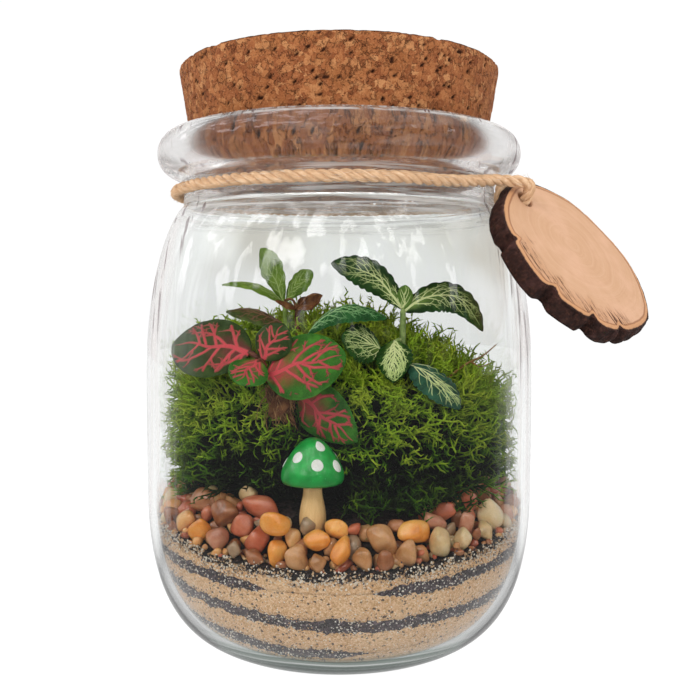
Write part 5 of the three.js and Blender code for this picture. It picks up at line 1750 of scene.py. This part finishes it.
class Tufts:
    """Grows strands of moss with side shoots and twigs, clear of the glass, the soil and the plants."""

    def __init__(self):
        self.draw = random.Random(17)
        self.tree, self.distances = keep_out_tree()

    def is_free(self, p):
        azimuth, radius = azimuth_of(p.x, p.y), math.hypot(p.x, p.y)
        if radius > inner_radius(p.z) - 0.7 or p.z < soil_height(azimuth, radius) + 0.5:
            return False
        return all(distance >= self.distances[index] for _, index, distance in self.tree.find_n(p, 3))

    def bend(self, way, amount):
        kick = Vector([self.draw.gauss(0, 1) for _ in range(3)])
        return (way + kick.normalized() * amount).normalized()

    def root(self):
        """Where a strand starts, the way it leaves and whether it creeps over the soil beside the mound."""
        draw = self.draw
        creeping = draw.random() < MOSS_CREEPING
        azimuth = draw.uniform(0, 50) if creeping else draw.uniform(-180, 180)
        edge = moss_edge(azimuth)
        if creeping:
            radius = edge + draw.uniform(-1, 5)
            return at(azimuth, radius, soil_height(azimuth, radius) + 0.6), at(azimuth, 0.6, 1), True
        if draw.random() < MOSS_WALL_SHARE:
            foot = soil_height(azimuth, edge) + 1.5
            z = foot + (moss_top(azimuth, edge) - foot) * draw.random()
            return at(azimuth, edge - 3.4, z), at(azimuth, 1, draw.uniform(-0.25, 0.75)), False
        radius = edge * math.sqrt(draw.random())
        root = at(azimuth, radius, moss_top(azimuth, radius) - 4)
        return root, at(azimuth, 1.1 * (radius / edge) ** 2, 1), False

    def strand(self):
        """The way and the path of a strand, or no path where it would run into something."""
        draw = self.draw
        root, way, creeping = self.root()
        way = self.bend(way.normalized(), 0.5)
        length = draw.uniform(8, 13) if draw.random() < 0.75 else draw.uniform(12, 17)
        line = [root]
        heading = way
        for _ in range(4):
            heading = self.bend(heading, 0.5)
            line.append(line[-1] + heading * (length / 4))
        if creeping:
            line = [root.lerp(p, 0.7) for p in line]
        while len(line) > 2 and not self.is_free(line[-1]):
            line.pop()
        if len(line) < 3 or not all(self.is_free(p) for p in line[2:]):
            return way, None
        return way, [tuple(p) for p in catmull_rom(line, 4)]

    def branch(self, way, path, group):
        """Side shoots along a strand, each with a twig or two."""
        for share in MOSS_SIDE_SHOOTS:
            step = min(4, int(share * 4))
            base = Vector(path[step]).lerp(Vector(path[step + 1]), share * 4 % 1)
            heading = self.bend(way, 1.0)
            reach = self.draw.uniform(2.8, 5.6) * (1.2 - 0.5 * share)
            middle = base + heading * reach * 0.5
            tip = middle + self.bend(heading, 0.9) * reach * 0.5
            if not (self.is_free(middle) and self.is_free(tip)):
                continue
            group["side"].append([tuple(base), tuple(middle), tuple(tip)])
            for spot, bow in ((middle, 1.3), (middle.lerp(tip, 0.6), 1.2)):
                end = spot + self.bend(heading, bow) * self.draw.uniform(1.0, 2.3)
                if self.is_free(end):
                    group["twig"].append([tuple(spot), tuple(end)])


def make_moss():
    make_moss_core()
    tufts = Tufts()
    groups = [{"main": [], "side": [], "twig": []} for _ in range(3)]
    made = 0
    for _ in range(9 * MOSS_TUFTS):
        if made >= MOSS_TUFTS:
            break
        way, path = tufts.strand()
        if path is not None:
            group = groups[made % 3]
            made += 1
            group["main"].append(path)
            tufts.branch(way, path, group)
    material = moss_material()
    for number, group in enumerate(groups):
        parts = Parts()
        for kind, radii in MOSS_RADII.items():
            paths = np.array(group[kind])
            tubes = tube_arrays(paths, np.tile(radii, (len(paths), 1)), 3, capped=False)
            parts.add(*tubes, [moss_color_and_painted_light(Vector(p)) for p in tubes[0]])
        dress(parts.piece("moss_strands_%d" % (number + 1), material), "moss")


# Mushroom


# Outlines from the bottom up: the cap's as shares of its radius and height, the stalk's in millimetres
CAP_OUTLINE = [
    (0, 0.03), (0.3, 0.03), (0.62, 0.015), (0.86, 0), (0.95, 0.02), (0.99, 0.08), (1, 0.16), (0.985, 0.24),
    (0.95, 0.32), (0.89, 0.41), (0.81, 0.51), (0.72, 0.61), (0.61, 0.72), (0.49, 0.82), (0.37, 0.9),
    (0.25, 0.955), (0.13, 0.99), (0, 1),
]
STALK_OUTLINE = [
    (0, STALK_FOOT), (2.9, STALK_FOOT), (3.1, 39.8), (3.3, 41.5), (3.45, 43), (STALK_R, 44), (3.4, 45.4),
    (3.15, 47.2), (2.8, 48.8), (2.55, 50), (2.42, 51.4),
]

# The cap's white dots: azimuth, height and radius, and the rings of each as shares of its radius and lift
CAP_DOTS = [
    (34, 63.4, 1.3), (12, 59.2, 1.6), (-40, 60.8, 1.5), (62, 58.4, 1.7), (112, 60, 1.5), (155, 58, 1.7),
    (-146, 62.6, 1.3), (-100, 58.4, 1.6), (-165, 57.6, 1.5),
]
DOT_RINGS = [(0.35, 0.16), (0.7, 0.14), (0.92, 0.08), (1, -0.05)]


def make_mushroom():
    shift = Vector((*MUSHROOM, 0))
    profile = [(r * CAP_R, CAP_Z + z * CAP_HEIGHT) for r, z in CAP_OUTLINE]
    cap = lathe("toy_mushroom_cap", profile, 64, cap_material())
    cap.data.transform(Matrix.Translation(shift * MM))
    dress(cap, "cap", "mushroom_cap")

    radii, heights = zip(*profile[5:])

    def cap_radius(z):
        return float(np.interp(z, heights, radii))

    def on_cap(azimuth, z, out):
        normal = at(azimuth, 0.6, cap_radius(z - 0.3) - cap_radius(z + 0.3)).normalized()
        return at(azimuth, cap_radius(z), z) + normal * out

    dots = Parts()
    for azimuth, z, size in CAP_DOTS:
        points = [on_cap(azimuth, z, 0.16)]
        for share, out in DOT_RINGS:
            for i in range(20):
                turn = 2 * math.pi * i / 20
                aside = math.degrees(size * share * math.cos(turn) / max(cap_radius(z), 1.5))
                points.append(on_cap(azimuth + aside, z + 0.9 * size * share * math.sin(turn), out))
        faces = []
        for i in range(20):
            j = (i + 1) % 20
            faces.append((0, 1 + i, 1 + j))
            for k in range(len(DOT_RINGS) - 1):
                a, b = 1 + 20 * k, 1 + 20 * (k + 1)
                faces += [(a + i, b + i, b + j), (a + i, b + j, a + j)]
        dots.add([tuple(p + shift) for p in points], faces)
    dress(dots.piece("mushroom_dots", dot_material()), "cap")

    top = CAP_Z + 0.03 * CAP_HEIGHT - GAP
    stalk = lathe("toy_mushroom_stalk", STALK_OUTLINE + [(2.4, top), (0, top)], 48, stalk_material())
    stalk.data.transform(Matrix.Translation(shift * MM))
    dress(stalk, "stalk", "mushroom_stalk")


# Floor, light and camera


def make_stage():
    """A white round floor that ends before the picture's horizon: it lights the jar from below."""
    turns = [math.radians(6 * i) for i in range(60)]
    rim = [(FLOOR_R * math.cos(turn), FLOOR_R * math.sin(turn), -0.05) for turn in turns]
    g = Graph("floor_white")
    g.finish((0.1, 0.1, 0.1), 0.9, Specular_IOR_Level=0)
    ray = g.node("ShaderNodeLightPath").outputs
    y = g.split(g.vector("NORMALIZE", g.place).outputs[0])[1]
    near = g.times(g.band(g.length(g.place), 150, 60), FLOOR_UNDER)
    shown = g.most(near, g.times(g.band(y, 0.1, 0.6), FLOOR_BEHIND), ray["Is Camera Ray"])
    bounced = g.math("GREATER_THAN", ray["Diffuse Depth"], 0.5)
    strength = g.plus(g.times(shown, g.minus(1.0, bounced)), g.times(bounced, FLOOR_LIGHT))
    shine = g.node("ShaderNodeEmission", {"Color": (1, 1, 1, 1), "Strength": strength})
    g.surface(g.node("ShaderNodeAddShader", {0: g.shader.outputs[0], 1: shine.outputs[0]}))
    g.material.cycles.emission_sampling = "NONE"
    faces = [(60, i, (i + 1) % 60) for i in range(60)]
    floor = build_mesh("floor", rim + [(0, 0, -0.05)], [faces], [g.material])


def make_world():
    """White behind the jar, an even light for its surfaces, and two rooms: one mirrored, one seen through."""
    world = bpy.data.worlds.new("studio")
    bpy.context.scene.world = world
    world.use_nodes = True
    world.cycles.sampling_method = "NONE"
    g = Nodes(world.node_tree)
    way = g.node("ShaderNodeTexCoord").outputs["Generated"]
    x, y, z = g.split(way)
    aside = g.math("ABSOLUTE", x)

    def pattern(scale, detail, stretch):
        return g.noise(1 / scale, detail, 0.5, 0, g.vector("MULTIPLY", way, stretch).outputs[0])

    stripes = pattern(11.0, 3.0, (1, 1, 0.1))
    patches = pattern(7.0, 2.0, (1, 1, 0.6))
    clouds = pattern(3.0, 3.0, (1, 1, 1.6))

    # The room that the glass mirrors: dim, with a bright back wall, stripes at the sides and small lamps
    mirrored = g.mix(g.band(z, 0.3, 0.75), (0.03, 0.03, 0.03), (0.75, 0.75, 0.76))
    mirrored = g.mix(g.band(y, 0.15, 0.6), mirrored, (0.92, 0.9, 0.9))
    edges = g.times(g.band(aside, 0.85, 0.98), g.band(stripes, 0.5, 0.62), g.band(z, 0.0, 0.1))
    mirrored = g.mix(edges, mirrored, (0.8, 0.8, 0.82))
    spots = g.times(g.band(x, 0.1, -0.35), g.band(z, 0.12, 0.3), g.band(y, 0.7, 0.2))
    spots = g.times(spots, g.band(patches, 0.52, 0.62))
    mirrored = g.mix(spots, mirrored, (4.2, 4.1, 4.3))
    few = g.times(g.band(z, 0.1, 0.3), g.band(patches, 0.62, 0.68), g.band(y, 0.2, -0.1))
    mirrored = g.mix(few, mirrored, (3.4, 3.3, 3.4))

    # The room seen through the glass: clouded white behind, dark in front, with a window at the left
    through = g.mix(g.band(clouds, 0.38, 0.6), (0.66, 0.63, 0.57), (0.93, 0.94, 0.93))
    through = g.mix(g.band(z, 0.05, 0.0), through, (FLOOR_BEHIND,) * 3)
    through = g.mix(g.band(y, 0.75, 0.3), through, (0.16, 0.15, 0.15))
    through = g.mix(g.band(y, 0.3, -0.2), through, (0.05, 0.05, 0.05))
    through = g.mix(g.times(g.band(z, 0.5, 0.8), g.band(y, 0.3, -0.2)), through, (0.6, 0.6, 0.6))
    through = g.mix(g.times(g.band(aside, 0.35, 0.6), g.band(y, -0.1, 0.15)), through, (0.95, 0.91, 0.9))
    dark = g.times(g.band(aside, 0.6, 0.8), g.band(stripes, 0.5, 0.62), 0.6)
    through = g.mix(dark, through, (0.42, 0.33, 0.36))
    lamps = g.times(g.band(y, 0.0, -0.3), g.band(z, 0.4, 0.5), g.band(patches, 0.5, 0.56))
    through = g.mix(lamps, through, (5.0, 4.9, 4.8))
    window = g.times(g.band(x, -0.45, -0.6), g.span(y, -0.35, -0.2, 0.15, 0.35), g.band(z, 0.3, 0.45))
    through = g.mix(window, through, (3.0, 3.0, 3.0))

    ray = g.node("ShaderNodeLightPath").outputs
    seen = g.mix(ray["Is Transmission Ray"], mirrored, through)
    bounced = g.math("GREATER_THAN", ray["Diffuse Depth"], 0.5)
    room = g.tree.nodes["Background"]
    g.feed(room.inputs["Color"], g.mix(bounced, seen, g.mix(g.band(z, -0.2, 0.8), EVEN_LOW, EVEN_HIGH)))
    white = g.node("ShaderNodeBackground", {"Color": (1, 1, 1, 1), "Strength": 1.02})
    final = g.blended(ray["Is Camera Ray"], room, white)
    g.feed(g.tree.nodes["World Output"].inputs["Surface"], final.outputs[0])


def add_light(name, place, target, size, power):
    """A soft lamp that the glass doesn't show."""
    data = bpy.data.lights.new(name, "AREA")
    data.shape = "DISK"
    data.size = size
    data.energy = power
    lamp = bpy.data.objects.new(name, data)
    bpy.context.scene.collection.objects.link(lamp)
    lamp.location = Vector(place)
    lamp.rotation_euler = (Vector(target) - Vector(place)).to_track_quat("-Z", "Y").to_euler()
    lamp.visible_transmission = False
    lamp.visible_glossy = False


def make_camera():
    data = bpy.data.cameras.new("camera")
    camera = bpy.data.objects.new("camera", data)
    bpy.context.scene.collection.objects.link(camera)
    camera.location = Vector(CAMERA_PLACE) * MM
    camera.rotation_euler = (math.pi / 2 - CAMERA_DOWN, 0, 0)
    data.sensor_width = 36
    data.lens = FOCAL_SHARE * data.sensor_width
    data.shift_x = CAMERA_SHIFT
    data.clip_start = 0.01
    bpy.context.scene.camera = camera


make_camera()
make_jar()
make_cork()
make_tag(make_twine())
make_layers()
make_wall_grains()
make_soil()
make_gravel(make_pebbles())
make_red_plant()
make_shoot()
make_white_plant()
make_arched_leaf()
make_dried_sprig()
make_mushroom()
make_moss()
make_stage()
make_world()
add_light("key", (-0.45, -0.6, 0.65), (0, 0, 0.08), 0.4, 3.0)
add_light("fill", (0.5, -0.6, 0.35), (0, 0, 0.08), 0.6, 1.0)
add_light("top", (0.1, 0.1, 0.9), (0, 0, 0.1), 0.7, 1.6)
bpy.context.scene.view_settings.view_transform = "Standard"
